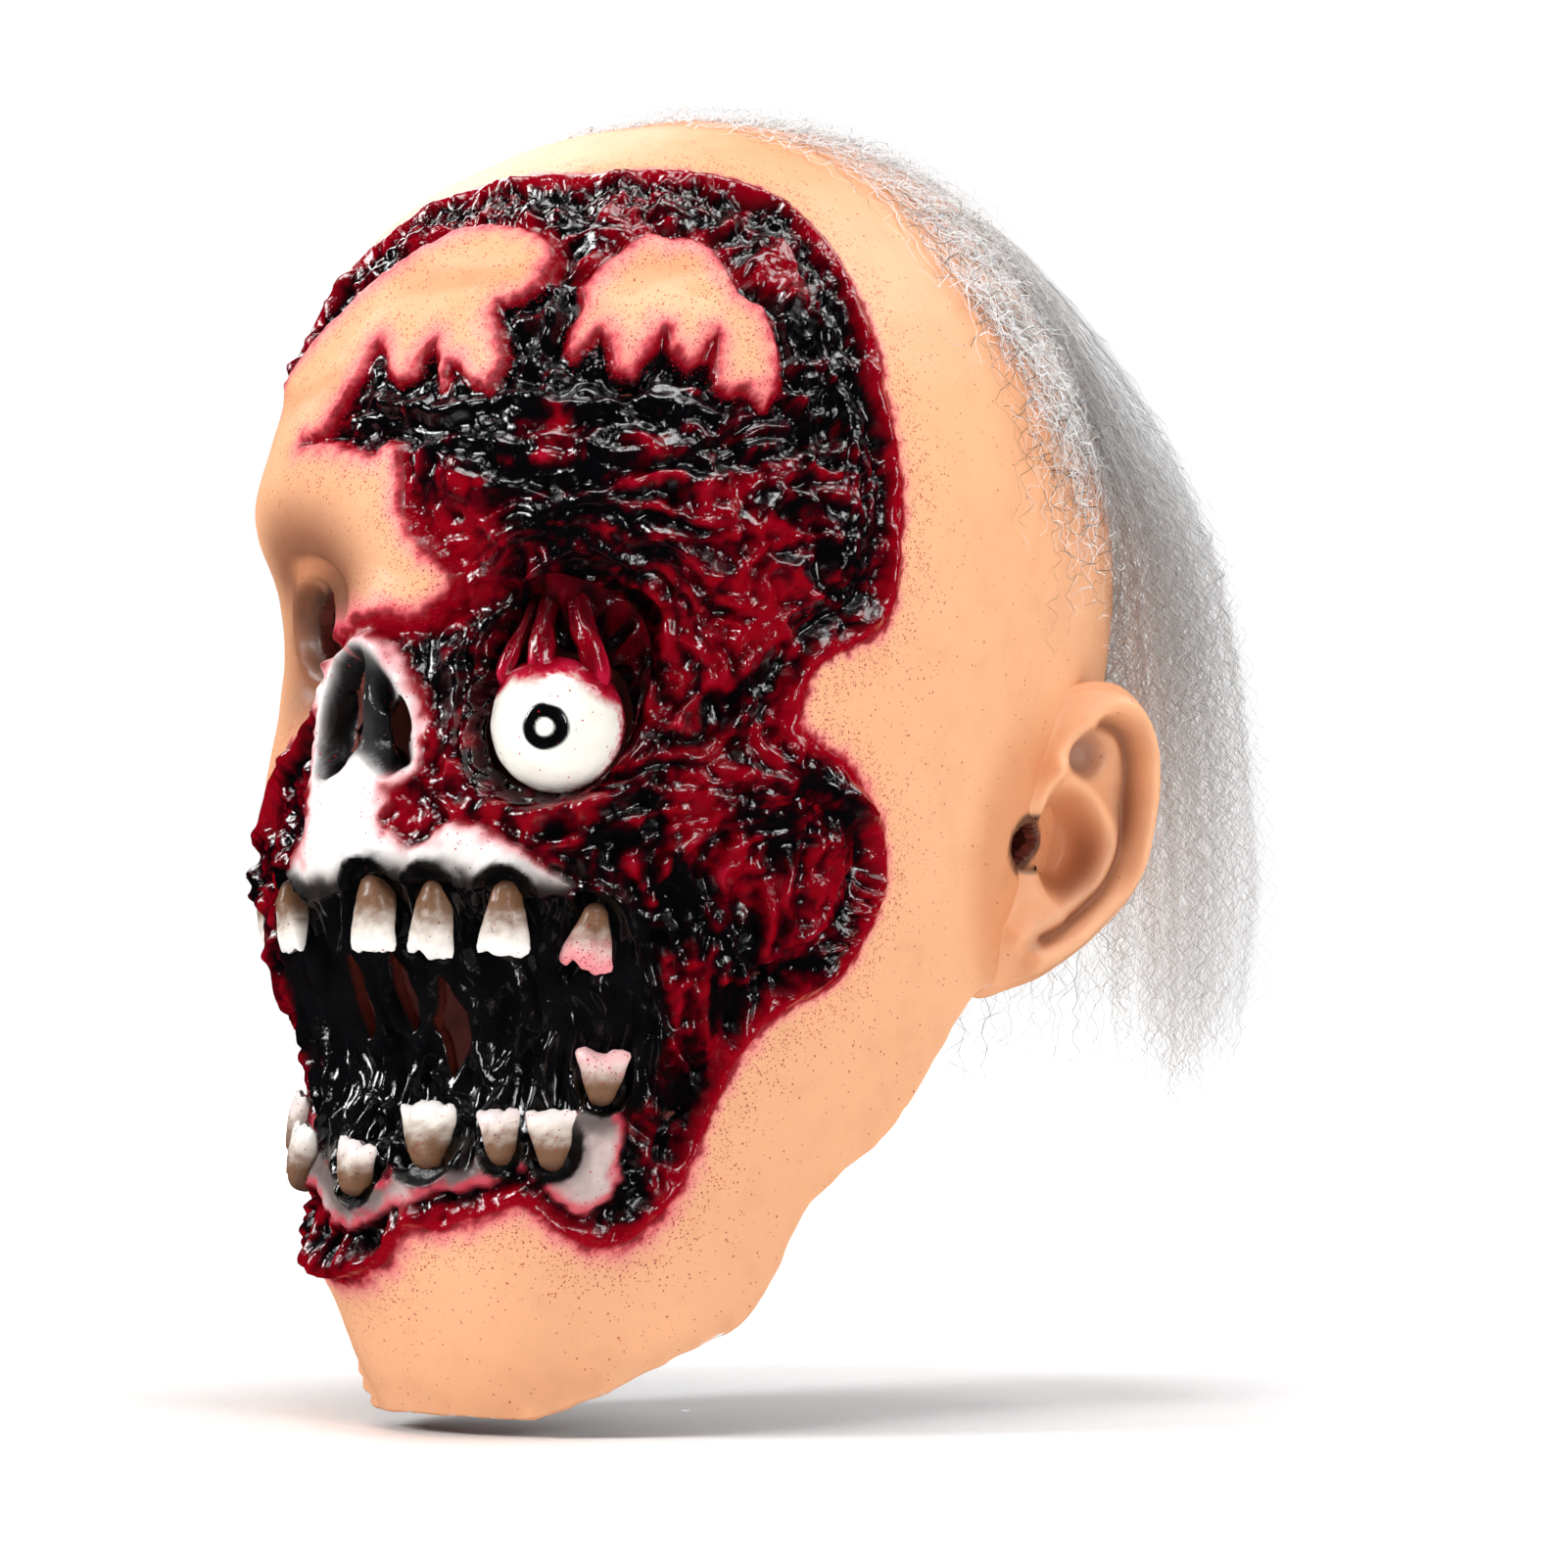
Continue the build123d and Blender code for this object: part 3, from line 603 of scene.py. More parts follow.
# soft wrinkles in the skin of the brow, and a slightly uneven casting
skin_w = 1 - in_torn
height += skin_w * (0.35 * fbm(x / 24, y / 24, z / 24, 2, 95) + 0.10 * skin_noise(5, 97))
crease = bell(np.sin(V / 4.6 + 1.2 * flat_noise(16, 0.5, 99)), 1.0, 0.35)
crease = crease * step(V, 88, 98) * step(V, 140, 122) * step(island, 0, 5)
height -= 0.35 * crease
# the right eye: a dent, small wrinkles that run out from the hole, and its two lids
facing_panel = TOWARDS > 0.1
height -= 3.0 * step(oval(-41, 46, 17, 14), 1.25, 0.4) * facing_panel * skin_w
lash = noise(np.arctan2(Z - 40, P + 43) * 5, 0.4, 0.2, 98)
height += 0.35 * lash * bell(oval(-43, 46, 15, 12), 1.15, 0.3) * facing_panel * skin_w
lid = np.where(facing_panel, oval(-44, 46, 12, 8), 9)
height += 1.5 * bell(lid, 1.35, 0.20) - 1.2 * bell(lid, 1.8, 0.2) * step(Z, 44, 52)

SURFACE = slide_to_edge(BASE + NORMAL * height[..., None], GAP)


# ---------------------------------------------------------------- paint
PEACH, TAN = srgb(250, 186, 140), srgb(220, 144, 98)
BROWN, UMBER = srgb(150, 92, 62), srgb(62, 36, 26)
PINK, ROSE = srgb(244, 132, 140), srgb(214, 28, 66)
CRIMSON, WINE, BLOOD = srgb(140, 2, 20), srgb(76, 1, 11), srgb(38, 1, 7)
BLACK, SOOT = srgb(7, 7, 9), srgb(18, 17, 19)
CHALK, ASH, SMOKE = srgb(252, 248, 246), srgb(182, 168, 164), srgb(34, 30, 31)
IVORY, TEA, LINING = srgb(248, 240, 228), srgb(116, 72, 36), srgb(120, 48, 36)
RED_SPOTS = [  # on the panel plane: sideways, height, radius
    (4, 72, 6), (45, 35, 6), (60, 45, 7), (62, 51, 6), (68, -8, 6), (46, -28, 4), (49, -44, 5),
    (42, -69, 4), (28, 130, 7), (24, 8, 5), (2, 4, 5), (59, 17, 6), (57, 119, 5), (10, 66, 7), (30, 84, 5),
    (44, 80, 5), (-8, 135, 6), (64, 24, 5), (56, -6, 5), (58, 70, 5), (6, 50, 5), (34, 5, 4), (50, 8, 4),
    (12, 60, 5),
]
BLACK_SPOTS = [(-4, 99, 7), (19, 125, 8), (37, 73, 8), (28, 69, 7), (48, 61, 6), (65, 109, 6), (70, 90, 6),
               (72, 61, 5), (40, 2, 6), (32, 0, 5), (4, 33, 5), (64, 0, 4), (48, -8, 6), (45, -20, 6),
               (53, 133, 7), (12, 90, 8), (32, 94, 9), (48, 93, 8), (-18, 95, 7), (20, 104, 8), (54, 84, 6),
               (16, 78, 6), (22, 60, 6), (66, 100, 6), (40, 130, 6), (6, 137, 5), (60, 30, 5), (44, -50, 5),
               (54, -22, 5), (10, 44, 5), (36, 58, 5), (60, 8, 5)]


def patches(rows):
    """Soft round patches on the unrolled skin, 1 in the middle."""
    total = np.zeros(U.shape)
    for p0, z0, radius in rows:
        (u0, v0), = unroll([(p0, z0)])
        total += np.exp(-(((U - u0) ** 2 + (V - v0) ** 2) / (radius * 1.35) ** 2))
    return np.clip(total, 0, 1.3)


mottle = skin_noise(30, 101)
grain = skin_noise(3.2, 103)
tint = mix(PEACH, TAN, 0.10 + 0.12 * mottle)
# round the right eye: brown that is partly airbrushed paint and partly painted shade of the socket, darker
# deeper in it; painted shade in the crease above the upper lid and at the rim of the eye hole
tint = layered(
    tint,
    (BROWN, 0.97 * step(oval(-42, 49, 29, 26), 1.25, 0.55) * facing_panel),
    (BROWN * 0.55, 0.7 * step(oval(-40, 48, 20, 15), 1.35, 0.6) * facing_panel),
    (TAN, 0.7 * bell(oval(-46, 58, 13, 4.5), 0.0, 0.8) * facing_panel),
    (UMBER, 0.75 * step(holes, 2.4, 0.3) * facing_panel * (P < -25)))
# painted shade on the head round each ear's root, darkest at the ear hole
for a0, _, _ in EAR_HOLES:
    turn = (AZ - a0 + 180) % 360 - 180
    tint = mix(tint, TAN, 0.75 * step(np.hypot(turn / 20, (Z + 2) / 40), 1.0, 0.5))
    tint = mix(tint, UMBER, 0.85 * step(np.hypot(turn / 5.6, Z / 7.5), 1.0, 0.8))
# painted shade in the brow's creases
tint = mix(tint, TAN, 0.5 * crease)

outside = -torn  # how far a point on the skin is from the wound
frayed = outside + 1.2 * flat_noise(3.1, 0.4, 107) + 0.8 * flat_noise(0.9, 0.4, 108)
reach = 3.2 + 1.6 * flat_noise(22, 0.3, 109) + 2.8 * step(island, -1, 0) + 2.0 * step(Z, -55, -75)
halo = step(frayed / reach, 1.15, 0.1) * (outside > -3)
tint = layered(
    tint,
    (PINK, 0.8 * halo),
    (ROSE, 0.9 * step(frayed / reach, 0.5, 0.02)),
    (CRIMSON, step(frayed, 1.3, 0.0)))

# painted shade: the gore darkens in the trench just inside the wound's rim
trench_shade = bell(torn, 8.0, 4.0) * step(island, -2, -8)
relief = mixed - blurred(mixed, 5)
mood = 0.55 * fbm(su / 9, sv / 9, 0.6, 3, 113) + 0.65 * noise(across / 4.2, su / 13, sv / 13, 117)
# lower relief turns the gore darker: painted shade in its valleys
mood = mood + 0.38 * np.clip(-relief, -1.2, 1.2) + 0.5 * noise(su / 3.0, sv / 3.0, 0.3, 118)
mood = mood + 0.45 * flat_noise(1.3, 0.3, 119)
mood = mood + 0.62 * patches(BLACK_SPOTS) - 0.62 * patches(RED_SPOTS) + 0.35 * trench_shade + 0.02
# painted shadow: the gore turns dark under the brow skin's overhanging fringe
mood = mood + 0.6 * step(island, -9, -1.5) * (Z < 118) * step(V, 70, 84)
gore = layered(
    CRIMSON,
    (WINE, step(mood, -0.75, 0.0)),
    (BLOOD, step(mood, -0.15, 0.35)),
    (BLACK, step(mood, 0.1, 0.65)))
# painted highlight: brighter crimson and rose on the gore's crests
crest_highlight = step(relief, 0.9, 2.0) * step(mood, 0.55, 0.05) * step(mood, -0.7, -0.2)
gore = mix(gore, CRIMSON * 1.25, 0.8 * crest_highlight)
gore = mix(gore, ROSE * 0.8, 0.5 * step(relief, 1.2, 2.4) * step(mood, -0.15, -0.5))
# under that fringe the bright edge band narrows, so the painted shadow reaches the skin
fringe = step(island, -14, -5) * (Z < 118) * step(V, 66, 78)
inner_gore = step(torn + 1.6 * grain * (1 - fringe), 1.5 - 1.3 * fringe, 4.5 - 3.2 * fringe)
gore = mix(CRIMSON * 1.1, gore, inner_gore)
tint = mix(tint, gore, step(torn + 0.8 * grain, -0.2, 1.2))

tint = mix(tint, mix(BLACK, SOOT, 0.5 + 0.5 * skin_noise(6, 127)), in_web)
bone_tint = mix(CHALK, ASH, 0.04 + 0.12 * fbm(x / 8, y / 8, z / 8, 2, 131))
# the nose hollow: grey that darkens to black deeper in, painted shade, with the septum left lighter
streak = 0.5 + 0.5 * noise(P / 1.4, Z / 6, 0.4, 132)
bone_tint = mix(bone_tint, SMOKE, step(d_nose, -1.6, 1.0) * (1 - 0.16 * septum * streak))
bone_tint = mix(bone_tint, BLACK, 0.98 * step(d_nose, 0.4, 2.8) * (1 - 0.45 * septum))
gum = step(-(Z + 2 + 0.12 * np.abs(P)), -1.5, 5.5) * step(Z, -25, -12)
bone_tint = mix(bone_tint, TEA * 0.9, 0.75 * gum)
bone_tint = mix(bone_tint, BLACK, 0.95 * step(d_web, -4.5, -0.5) * (Z > -30))
to_gore = np.minimum(np.maximum(d_bone, d_jaw), 40) + 1.6 * grain - 0.2
seam = step(to_gore, 4.5, 1.0) * step(d_web, -3, -6) * (Z < 60)
bone_tint = mix(bone_tint, PINK, 0.8 * seam)
bone_tint = mix(bone_tint, CRIMSON, step(to_gore, 2.2, 0.5) * step(d_web, -3, -6))
jaw_side = step(Z, -50, -58)
jaw_tint = layered(
    srgb(228, 200, 196),
    (ASH, 0.35 + 0.35 * skin_noise(6, 137)),
    (SMOKE, 0.75 * step(d_web, -6.5, -1.0)),
    (PINK, 0.55 * step(-torn + 2 * grain, -9, -3)))
bone_tint = mix(bone_tint, jaw_tint, jaw_side)
bone_tint = mix(bone_tint, ROSE, 0.8 * jaw_side * step(to_gore, 3.0, 0.6))
tint = mix(tint, bone_tint, in_bone)
tint = mix(tint, BLACK, gum_dark * in_torn)

gloss = 0.16 + 0.08 * mottle + 0.84 * step(torn, -0.6, 0.8)
gloss = gloss * (1 - 0.62 * in_bone)
gloss = np.maximum(gloss, 0.75 * step(d_nose, 1, 4) * in_bone)
speck = np.clip(0.17 + 0.2 * skin_noise(22, 139), 0.04, 0.5) * (1 - in_torn)
speck = speck + 0.85 * in_bone * step(gum, 0.05, 0.5) + 0.25 * jaw_side * in_bone
spatter = (0.95 * step(outside, 13, 2) * (outside > -2) + 0.35 * step(outside, 34, 8)) * (1 - in_torn)
spatter = spatter + 0.45 * in_bone * step(to_gore, 10, 3) * step(d_web, -3, -7)
# second vertex layer: how glossy, how many dark specks, how much red spatter
MASK = np.stack([gloss, np.clip(speck, 0, 1), np.clip(spatter, 0, 1)], -1)


# ---------------------------------------------------------------- making meshes
def strip_faces(around, rings, flip=False):
    """Quads between rings of points; each ring closes on itself."""
    k = np.arange(around)
    after = (k + 1) % around
    corners = [k, k + around, after + around, after] if flip else [k, after, after + around, k + around]
    first = np.stack(corners, -1)
    return np.concatenate([first + i * around for i in range(rings - 1)])


def mesh_object(name, points, faces, colours=None, masks=None):
    """A smooth mesh from points in millimetres and faces that all have the same number of corners."""
    mesh = bpy.data.meshes.new(name)
    points = np.asarray(points, float).reshape(-1, 3)
    faces = np.asarray(faces, np.int32)
    sides = faces.shape[1]
    mesh.vertices.add(len(points))
    mesh.vertices.foreach_set("co", (points * MM).astype(np.float32).ravel())
    mesh.loops.add(faces.size)
    mesh.loops.foreach_set("vertex_index", faces.ravel())
    mesh.polygons.add(len(faces))
    mesh.polygons.foreach_set("loop_start", np.arange(0, faces.size, sides, dtype=np.int32))
    mesh.polygons.foreach_set("use_smooth", np.ones(len(faces), bool))
    mesh.update(calc_edges=True)
    for label, rows in (("tint", colours), ("mask", masks)):
        if rows is not None:
            layer = mesh.attributes.new(label, "FLOAT_COLOR", "POINT")
            full = np.ones((len(points), 4), np.float32)
            full[:, :3] = np.clip(np.reshape(rows, (-1, 3)), 0, 1)  # one row stands for every point
            layer.data.foreach_set("color", full.ravel())
    made = bpy.data.objects.new(name, mesh)
    bpy.context.scene.collection.objects.link(made)
    return made


def finish_piece(made, material, body="mask", node=None):
    """Gives a mesh its material, its body and the CAD node that it stands in for."""
    made.data.materials.append(material)
    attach(made, body)
    if node:
        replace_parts(made, node)


ROW_COUNT, COLUMN_COUNT = SURFACE.shape[:2]
INDEX = np.arange(ROW_COUNT * COLUMN_COUNT).reshape(ROW_COUNT, COLUMN_COUNT)
QUADS = np.stack([INDEX[:-1], np.roll(INDEX, -1, 1)[:-1], np.roll(INDEX, -1, 1)[1:], INDEX[1:]], -1)


def face_mean(values):
    return values.reshape(-1)[QUADS].mean(-1)


hole_face = face_mean(GAP) < 0
label = np.zeros(QUADS.shape[:2], int)  # 0 skin, 1 wound, 2 flap, 3 muzzle, 4 web, 5 jaw
label[face_mean(torn) > 0] = 1
label[face_mean(d_flap) > 0] = 2
label[(face_mean(in_bone) > 0.5) & (label == 1)] = 3
label[(label == 3) & (face_mean(Z) < -40)] = 5
label[(face_mean(in_web) > 0.5) & (label == 1)] = 4
label[hole_face] = -1


def wall_edges(keep):
    """Each edge between a kept face and a hole, in the order that faces its wall outwards."""
    pairs = []
    for k in range(4):
        a, b = QUADS[..., k], QUADS[..., (k + 1) % 4]
        if k == 0:
            other = np.vstack([np.zeros((1, keep.shape[1]), bool), hole_face[:-1]])
        elif k == 1:
            other = np.roll(hole_face, -1, 1)
        elif k == 2:
            other = np.vstack([hole_face[1:], np.zeros((1, keep.shape[1]), bool)])
        else:
            other = np.roll(hole_face, 1, 1)
        edge = keep & other
        pairs.append(np.stack([b[edge], a[edge]], -1))
    return np.concatenate(pairs)


WALL = [(0.35, 0.18), (1.0, 0.3), (3.1, 0.3)]  # depth under the surface and how far the hole narrows


def surface_piece(name, kind, wall_tint):
    """One kind of face cut out of the skin, with walls down into any hole that it borders on."""
    keep = label == kind
    used, inverse = np.unique(QUADS[keep], return_inverse=True)
    faces = inverse.reshape(-1, 4)
    points, colours, masks = (rows.reshape(-1, 3)[used] for rows in (SURFACE, tint, MASK))
    edges = wall_edges(keep)
    if len(edges):
        rim = np.unique(edges)
        before = np.full(ROW_COUNT * COLUMN_COUNT, -1)
        before[used] = np.arange(len(used))
        rim_point, rim_normal, rim_slope, rim_tint, rim_mask = (
            rows.reshape(-1, 3)[rim] for rows in (SURFACE, NORMAL, gap_slope, tint, MASK))
        for depth, narrow in WALL:
            after = np.full(ROW_COUNT * COLUMN_COUNT, -1)
            after[rim] = len(points) + np.arange(len(rim))
            points = np.vstack([points, rim_point - rim_normal * depth - rim_slope * narrow])
            dim = np.full(len(rim), min(1, depth / 1.2))
            colours = np.vstack([colours, mix(rim_tint, wall_tint, dim)])
            masks = np.vstack([masks, rim_mask * [0.8, 0.3, 0]])
            wall = [before[edges[:, 0]], before[edges[:, 1]], after[edges[:, 1]], after[edges[:, 0]]]
            faces = np.vstack([faces, np.stack(wall, -1)])
            before = after
    return mesh_object(name, points, faces, colours, masks)


def slope_of(gap):
    """Direction in which a distance grows, along the skin."""
    side = np.roll(SURFACE, -1, 1) - np.roll(SURFACE, 1, 1)
    up = np.gradient(SURFACE, axis=0) * 2
    gu = (np.roll(gap, -1, 1) - np.roll(gap, 1, 1)) / np.maximum((side**2).sum(-1), 1e-9)
    gv = np.gradient(gap, axis=0) * 2 / np.maximum((up**2).sum(-1), 1e-9)
    slope = side * gu[..., None] + up * gv[..., None]
    return slope / np.maximum(np.linalg.norm(slope, axis=2), 1e-9)[..., None]


gap_slope = slope_of(GAP)


# ---------------------------------------------------------------- materials
class Tree:
    """Short calls to build a material's nodes."""

    def __init__(self, name):
        self.material = bpy.data.materials.new(name)
        self.material.use_nodes = True
        self.nodes = self.material.node_tree.nodes
        self.links = self.material.node_tree.links
        self.bsdf = self.nodes["Principled BSDF"]
        self.coord = self.add("ShaderNodeTexCoord").outputs["Object"]

    def add(self, kind, **settings):
        made = self.nodes.new(kind)
        for key, value in settings.items():
            setattr(made, key, value)
        return made

    def put(self, socket, value):
        if isinstance(value, bpy.types.NodeSocket):
            self.links.new(value, socket)
        else:
            socket.default_value = value

    def math(self, operation, a, b=0.0, c=0.0):
        made = self.add("ShaderNodeMath", operation=operation)
        for socket, value in zip(made.inputs, (a, b, c)):
            self.put(socket, value)
        return made.outputs[0]

    def ramp(self, value, low, high, to_low=0.0, to_high=1.0):
        made = self.add("ShaderNodeMapRange", interpolation_type="SMOOTHSTEP")
        names = ("Value", "From Min", "From Max", "To Min", "To Max")
        for name, x in zip(names, (value, low, high, to_low, to_high)):
            self.put(made.inputs[name], x)
        return made.outputs["Result"]

    def noise(self, size, detail=3.0, rough=0.55, stretch=None):
        """Noise with lumps of about this many millimetres."""
        place = self.coord
        if stretch:
            mapping = self.add("ShaderNodeMapping")
            self.put(mapping.inputs["Vector"], place)
            mapping.inputs["Scale"].default_value = stretch
            place = mapping.outputs[0]
        made = self.add("ShaderNodeTexNoise")
        self.put(made.inputs["Vector"], place)
        made.inputs["Scale"].default_value = 1000 / size
        made.inputs["Detail"].default_value = detail
        made.inputs["Roughness"].default_value = rough
        return made.outputs["Fac"]

    def dots(self, cell, radius, density):
        """Round dots at random places: cell in millimetres, radius as a share of the cell."""
        made = self.add("ShaderNodeTexVoronoi", feature="F1")
        self.put(made.inputs["Vector"], self.coord)
        made.inputs["Scale"].default_value = 1000 / cell
        split = self.add("ShaderNodeSeparateColor")
        self.put(split.inputs[0], made.outputs["Color"])
        size = self.math("MULTIPLY", self.math("ADD", split.outputs[0], 0.35), radius)
        disc = self.ramp(self.math("DIVIDE", made.outputs["Distance"], size), 1.1, 0.6)
        return self.math("MULTIPLY", disc, self.math("LESS_THAN", split.outputs[1], density))

    def blend(self, a, b, t, mode="MIX"):
        made = self.add("ShaderNodeMix", data_type="RGBA", blend_type=mode)
        for key, value in ((0, t), (6, a), (7, b)):
            if not isinstance(value, bpy.types.NodeSocket) and key:
                value = (*value, 1)
            self.put(made.inputs[key], value)
        return made.outputs[2]

    def dim(self, colour, by, amount):
        """The colour, multiplied by another one where the amount is high."""
        return self.blend(colour, self.blend(colour, by, 1.0, "MULTIPLY"), amount)

    def bump(self, *layers):
        """Stacks bumps given as (height, millimetres)."""
        normal = None
        for height, size in layers:
            made = self.add("ShaderNodeBump")
            made.inputs["Distance"].default_value = size * MM
            self.put(made.inputs["Height"], height)
            if normal:
                self.put(made.inputs["Normal"], normal)
            normal = made.outputs[0]
        self.put(self.bsdf.inputs["Normal"], normal)

    def end(self, colour, rough, coat=0.0, specular=0.5):
        self.put(self.bsdf.inputs["Base Color"], colour)
        self.put(self.bsdf.inputs["Roughness"], rough)
        self.put(self.bsdf.inputs["Coat Weight"], coat)
        self.bsdf.inputs["Coat Roughness"].default_value = 0.04
        self.bsdf.inputs["Specular IOR Level"].default_value = specular
        return self.material


def painted(name, pores, wrinkles, lumps=0.0):
    """Airbrushed latex: paint, gloss and specks come from the vertex layers and from noise."""
    t = Tree(name)
    colour = t.add("ShaderNodeAttribute", attribute_name="tint").outputs["Color"]
    split = t.add("ShaderNodeSeparateColor")
    t.put(split.inputs[0], t.add("ShaderNodeAttribute", attribute_name="mask").outputs["Color"])
    gloss, speck, spatter = split.outputs
    cloud = t.noise(9, 4)
    colour = t.dim(colour, (0.72, 0.6, 0.55), t.ramp(cloud, 0.45, 0.8, 0, 0.22))
    red = t.math("MAXIMUM", t.dots(1.1, 0.22, spatter),
                 t.dots(0.6, 0.32, t.math("MULTIPLY", spatter, spatter)))
    colour = t.blend(colour, tuple(srgb(178, 22, 44)), t.math("MULTIPLY", red, 0.85))
    dark = t.math("MAXIMUM", t.dots(2.2, 0.09, speck), t.dots(0.9, 0.2, t.math("POWER", speck, 2)))
    colour = t.blend(colour, tuple(srgb(88, 40, 30)), t.math("MULTIPLY", dark, 0.85))
    fine = t.noise(0.7, 2)
    soft = t.noise(3.2, 3)
    layers = [(soft, wrinkles), (fine, pores)]
    if lumps:
        layers.insert(0, (t.noise(1.9, 4, 0.6), lumps))
    t.bump(*layers)
    uneven = t.math("MULTIPLY", t.math("SUBTRACT", soft, 0.5), 0.12)
    rough = t.math("ADD", t.ramp(gloss, 0, 1, 0.50, 0.10), uneven)
    coat = t.ramp(gloss, 0.55, 1.0, 0.0, 0.5)
    return t.end(colour, rough, coat, 0.45)


SKIN = painted("skin_latex", pores=0.05, wrinkles=0.12)
GORE = painted("gore_latex", pores=0.02, wrinkles=0.45, lumps=0.30)
BONE = painted("bone_latex", pores=0.05, wrinkles=0.35)
WEB_MAT = painted("web_latex", pores=0.05, wrinkles=0.30, lumps=0.2)


def lining_material():
    t = Tree("lining_latex")
    colour = t.blend(tuple(LINING), tuple(LINING * 0.55), t.ramp(t.noise(14, 4), 0.35, 0.7))
    t.bump((t.noise(2.5, 3), 0.3), (t.noise(0.6, 2), 0.1))
    return t.end(colour, t.ramp(t.noise(6), 0.3, 0.7, 0.5, 0.7))


LINING_MAT = lining_material()

# ---------------------------------------------------------------- skin, wound, muzzle, web and jaw
for name, kind, material, slot, node, wall_tint in (
        ("skin", 0, SKIN, "skin", "head_skin", LINING),
        ("wound", 1, GORE, "gore", "wound_panel", BLOOD),
        ("brow_flap", 2, SKIN, "skin", "forehead_flap", LINING),
        ("muzzle", 3, BONE, "bone", "skull_muzzle", BLOOD),
        ("mouth_cords", 4, WEB_MAT, "mouth_web", "mouth_web", LINING * 0.6),
        ("jaw_strip", 5, BONE, "bone", "jaw_bone", BLOOD)):
    finish_piece(surface_piece(name, kind, wall_tint), material, node=node)


def lining():
    """The inside of the casting, on every second row and column of the skin's grid."""
    rows = list(range(0, ROW_COUNT - 1, 2)) + [ROW_COUNT - 1]
    cols = list(range(0, COLUMN_COUNT, 2))
    grid = INNER[np.ix_(rows, cols)]
    gap = GAP[np.ix_(rows, cols)] - 0.4
    index = np.arange(gap.size).reshape(gap.shape)
    beside = np.roll(index, -1, 1)
    quads = np.stack([index[1:], beside[1:], beside[:-1], index[:-1]], -1)
    quads = quads[gap.reshape(-1)[quads].mean(-1) > 0]
    finish_piece(mesh_object("lining", grid, quads.reshape(-1, 4)), LINING_MAT)


def rim_edge():
    """The rounded lower edge, with chalky flecks."""
    low, inside = SURFACE[0], INNER[0]
    profile = ((0, 0), (0.15, 0.55), (0.5, 0.8), (0.85, 0.55), (1, 0))  # share of the way in, mm down
    rings = [low + (inside - low) * share - [0, 0, down] for share, down in profile]
    white = np.clip(noise(COLUMNS / 1.6, 0.2, 0.5, 151) - 0.15, 0, 1)
    colours = [mix(tint[0], CHALK, white * 1.6)] * len(rings)
    faces = strip_faces(COLUMN_COUNT, len(rings), flip=True)
    finish_piece(mesh_object("rim_edge", rings, faces, colours, (0.15, 0.3, 0.0)), SKIN)


def crown_top():
    """Closes the skin's grid over the crown."""
    ring = SURFACE[-1]
    middle = np.array([ring[:, 0].mean(), ring[:, 1].mean(), ring[0, 2]])
    shares = (0.75, 0.5, 0.25, 0.02)
    rings = [ring] + [middle + (ring - middle) * f + [0, 0, 1.3 * (1 - f * f)] for f in shares]
    faces = strip_faces(COLUMN_COUNT, len(rings))
    finish_piece(mesh_object("crown_top", rings, faces, tint[-1].mean(0), (0.15, 0.2, 0.0)), SKIN)


WALL_THICK = 2.9
INNER = BASE + NORMAL * (np.minimum(height, 0) * 0.5 - WALL_THICK)[..., None]
lining()
rim_edge()
crown_top()


# ---------------------------------------------------------------- the left eye socket, closing round the ball
SOCKET_MOUTH = [(39.5, 27), (37.5, 32.5), (34, 36.5), (30, 39), (26, 40), (23.5, 44), (22, 49), (18, 49.5),
                (13.5, 44), (13.5, 36), (12.0, 30), (11.4, 24), (13.0, 17.6), (17.4, 13.2), (23, 11.2),
                (29.6, 11.6), (35.2, 15), (38.8, 20.6)]


SOCKET_MIDDLE = np.array([24.0, 30.0])
EYE_AZ = 24  # the way the hanging eye faces
EYE_OUT = from_axis(1.0, EYE_AZ, 0.0)


def even_loop(points, steps):
    """A smooth closed outline, sampled at even angles about the socket's middle."""
    p = rounded(points, parts=12)
    turn = np.arctan2(p[:, 1] - SOCKET_MIDDLE[1], p[:, 0] - SOCKET_MIDDLE[0]) % (2 * pi)
    order = np.argsort(turn)
    want = np.linspace(0, 2 * pi, steps, endpoint=False)
    return np.stack([np.interp(want, turn[order], p[order, i], period=2 * pi) for i in (0, 1)], -1)


WET = (1.0, 0, 0)  # all gloss, no specks


def socket_cup():
    """Wet folds that run from the socket's edge in to the ball, with a gap to see through."""
    steps, rings = 220, 16
    outer, inner = even_loop(SOCKET, steps), even_loop(SOCKET_MOUTH, steps)
    a = np.linspace(0, 2 * pi, steps, endpoint=False)
    ca, sa = np.cos(a), np.sin(a)
    rows, tints = [], []
    for t in np.linspace(0, 1, rings):
        p, z = (outer + (inner - outer) * t).T
        az = np.array([azimuth_of(*spot) for spot in zip(p, z)])
        fold = ridged(ca * 3.4 + 3, sa * 3.4, t * 1.1, 2, 501)
        depth = -0.6 + 5.5 * step(t, 0, 1) + 4.0 * (0.6 - fold) * step(t, 0, 0.3)
        depth += 0.5 * noise(ca * 7, sa * 7, t * 3, 502) * step(t, 0, 0.3)
        rows.append(from_axis(base_radius(az, z) - depth, az, z))
        # painted shade: the folds darken deeper into the socket and in their valleys
        shade = 0.7 * noise(ca * 6, sa * 6, t * 1.2, 503) + 0.5 * t + 0.5 * (0.6 - fold) + 0.26
        folds = mix(CRIMSON, WINE, step(shade, -0.3, 0.2))
        tints.append(mix(folds, BLACK, step(shade, 0.1, 0.6)))
    mouth, mouth_tint = rows[-1], tints[-1]
    # walls that drop behind the ball, painted near black as shade
    for drop in (1.5, 4.0, 9.0, 15.0):
        rows.append(mouth - drop * EYE_OUT)
        tints.append(mix(mouth_tint, BLACK, np.full(steps, 0.8)))
    made = mesh_object("socket_folds", rows, strip_faces(steps, len(rows)), tints, WET)
    finish_piece(made, GORE)


socket_cup()


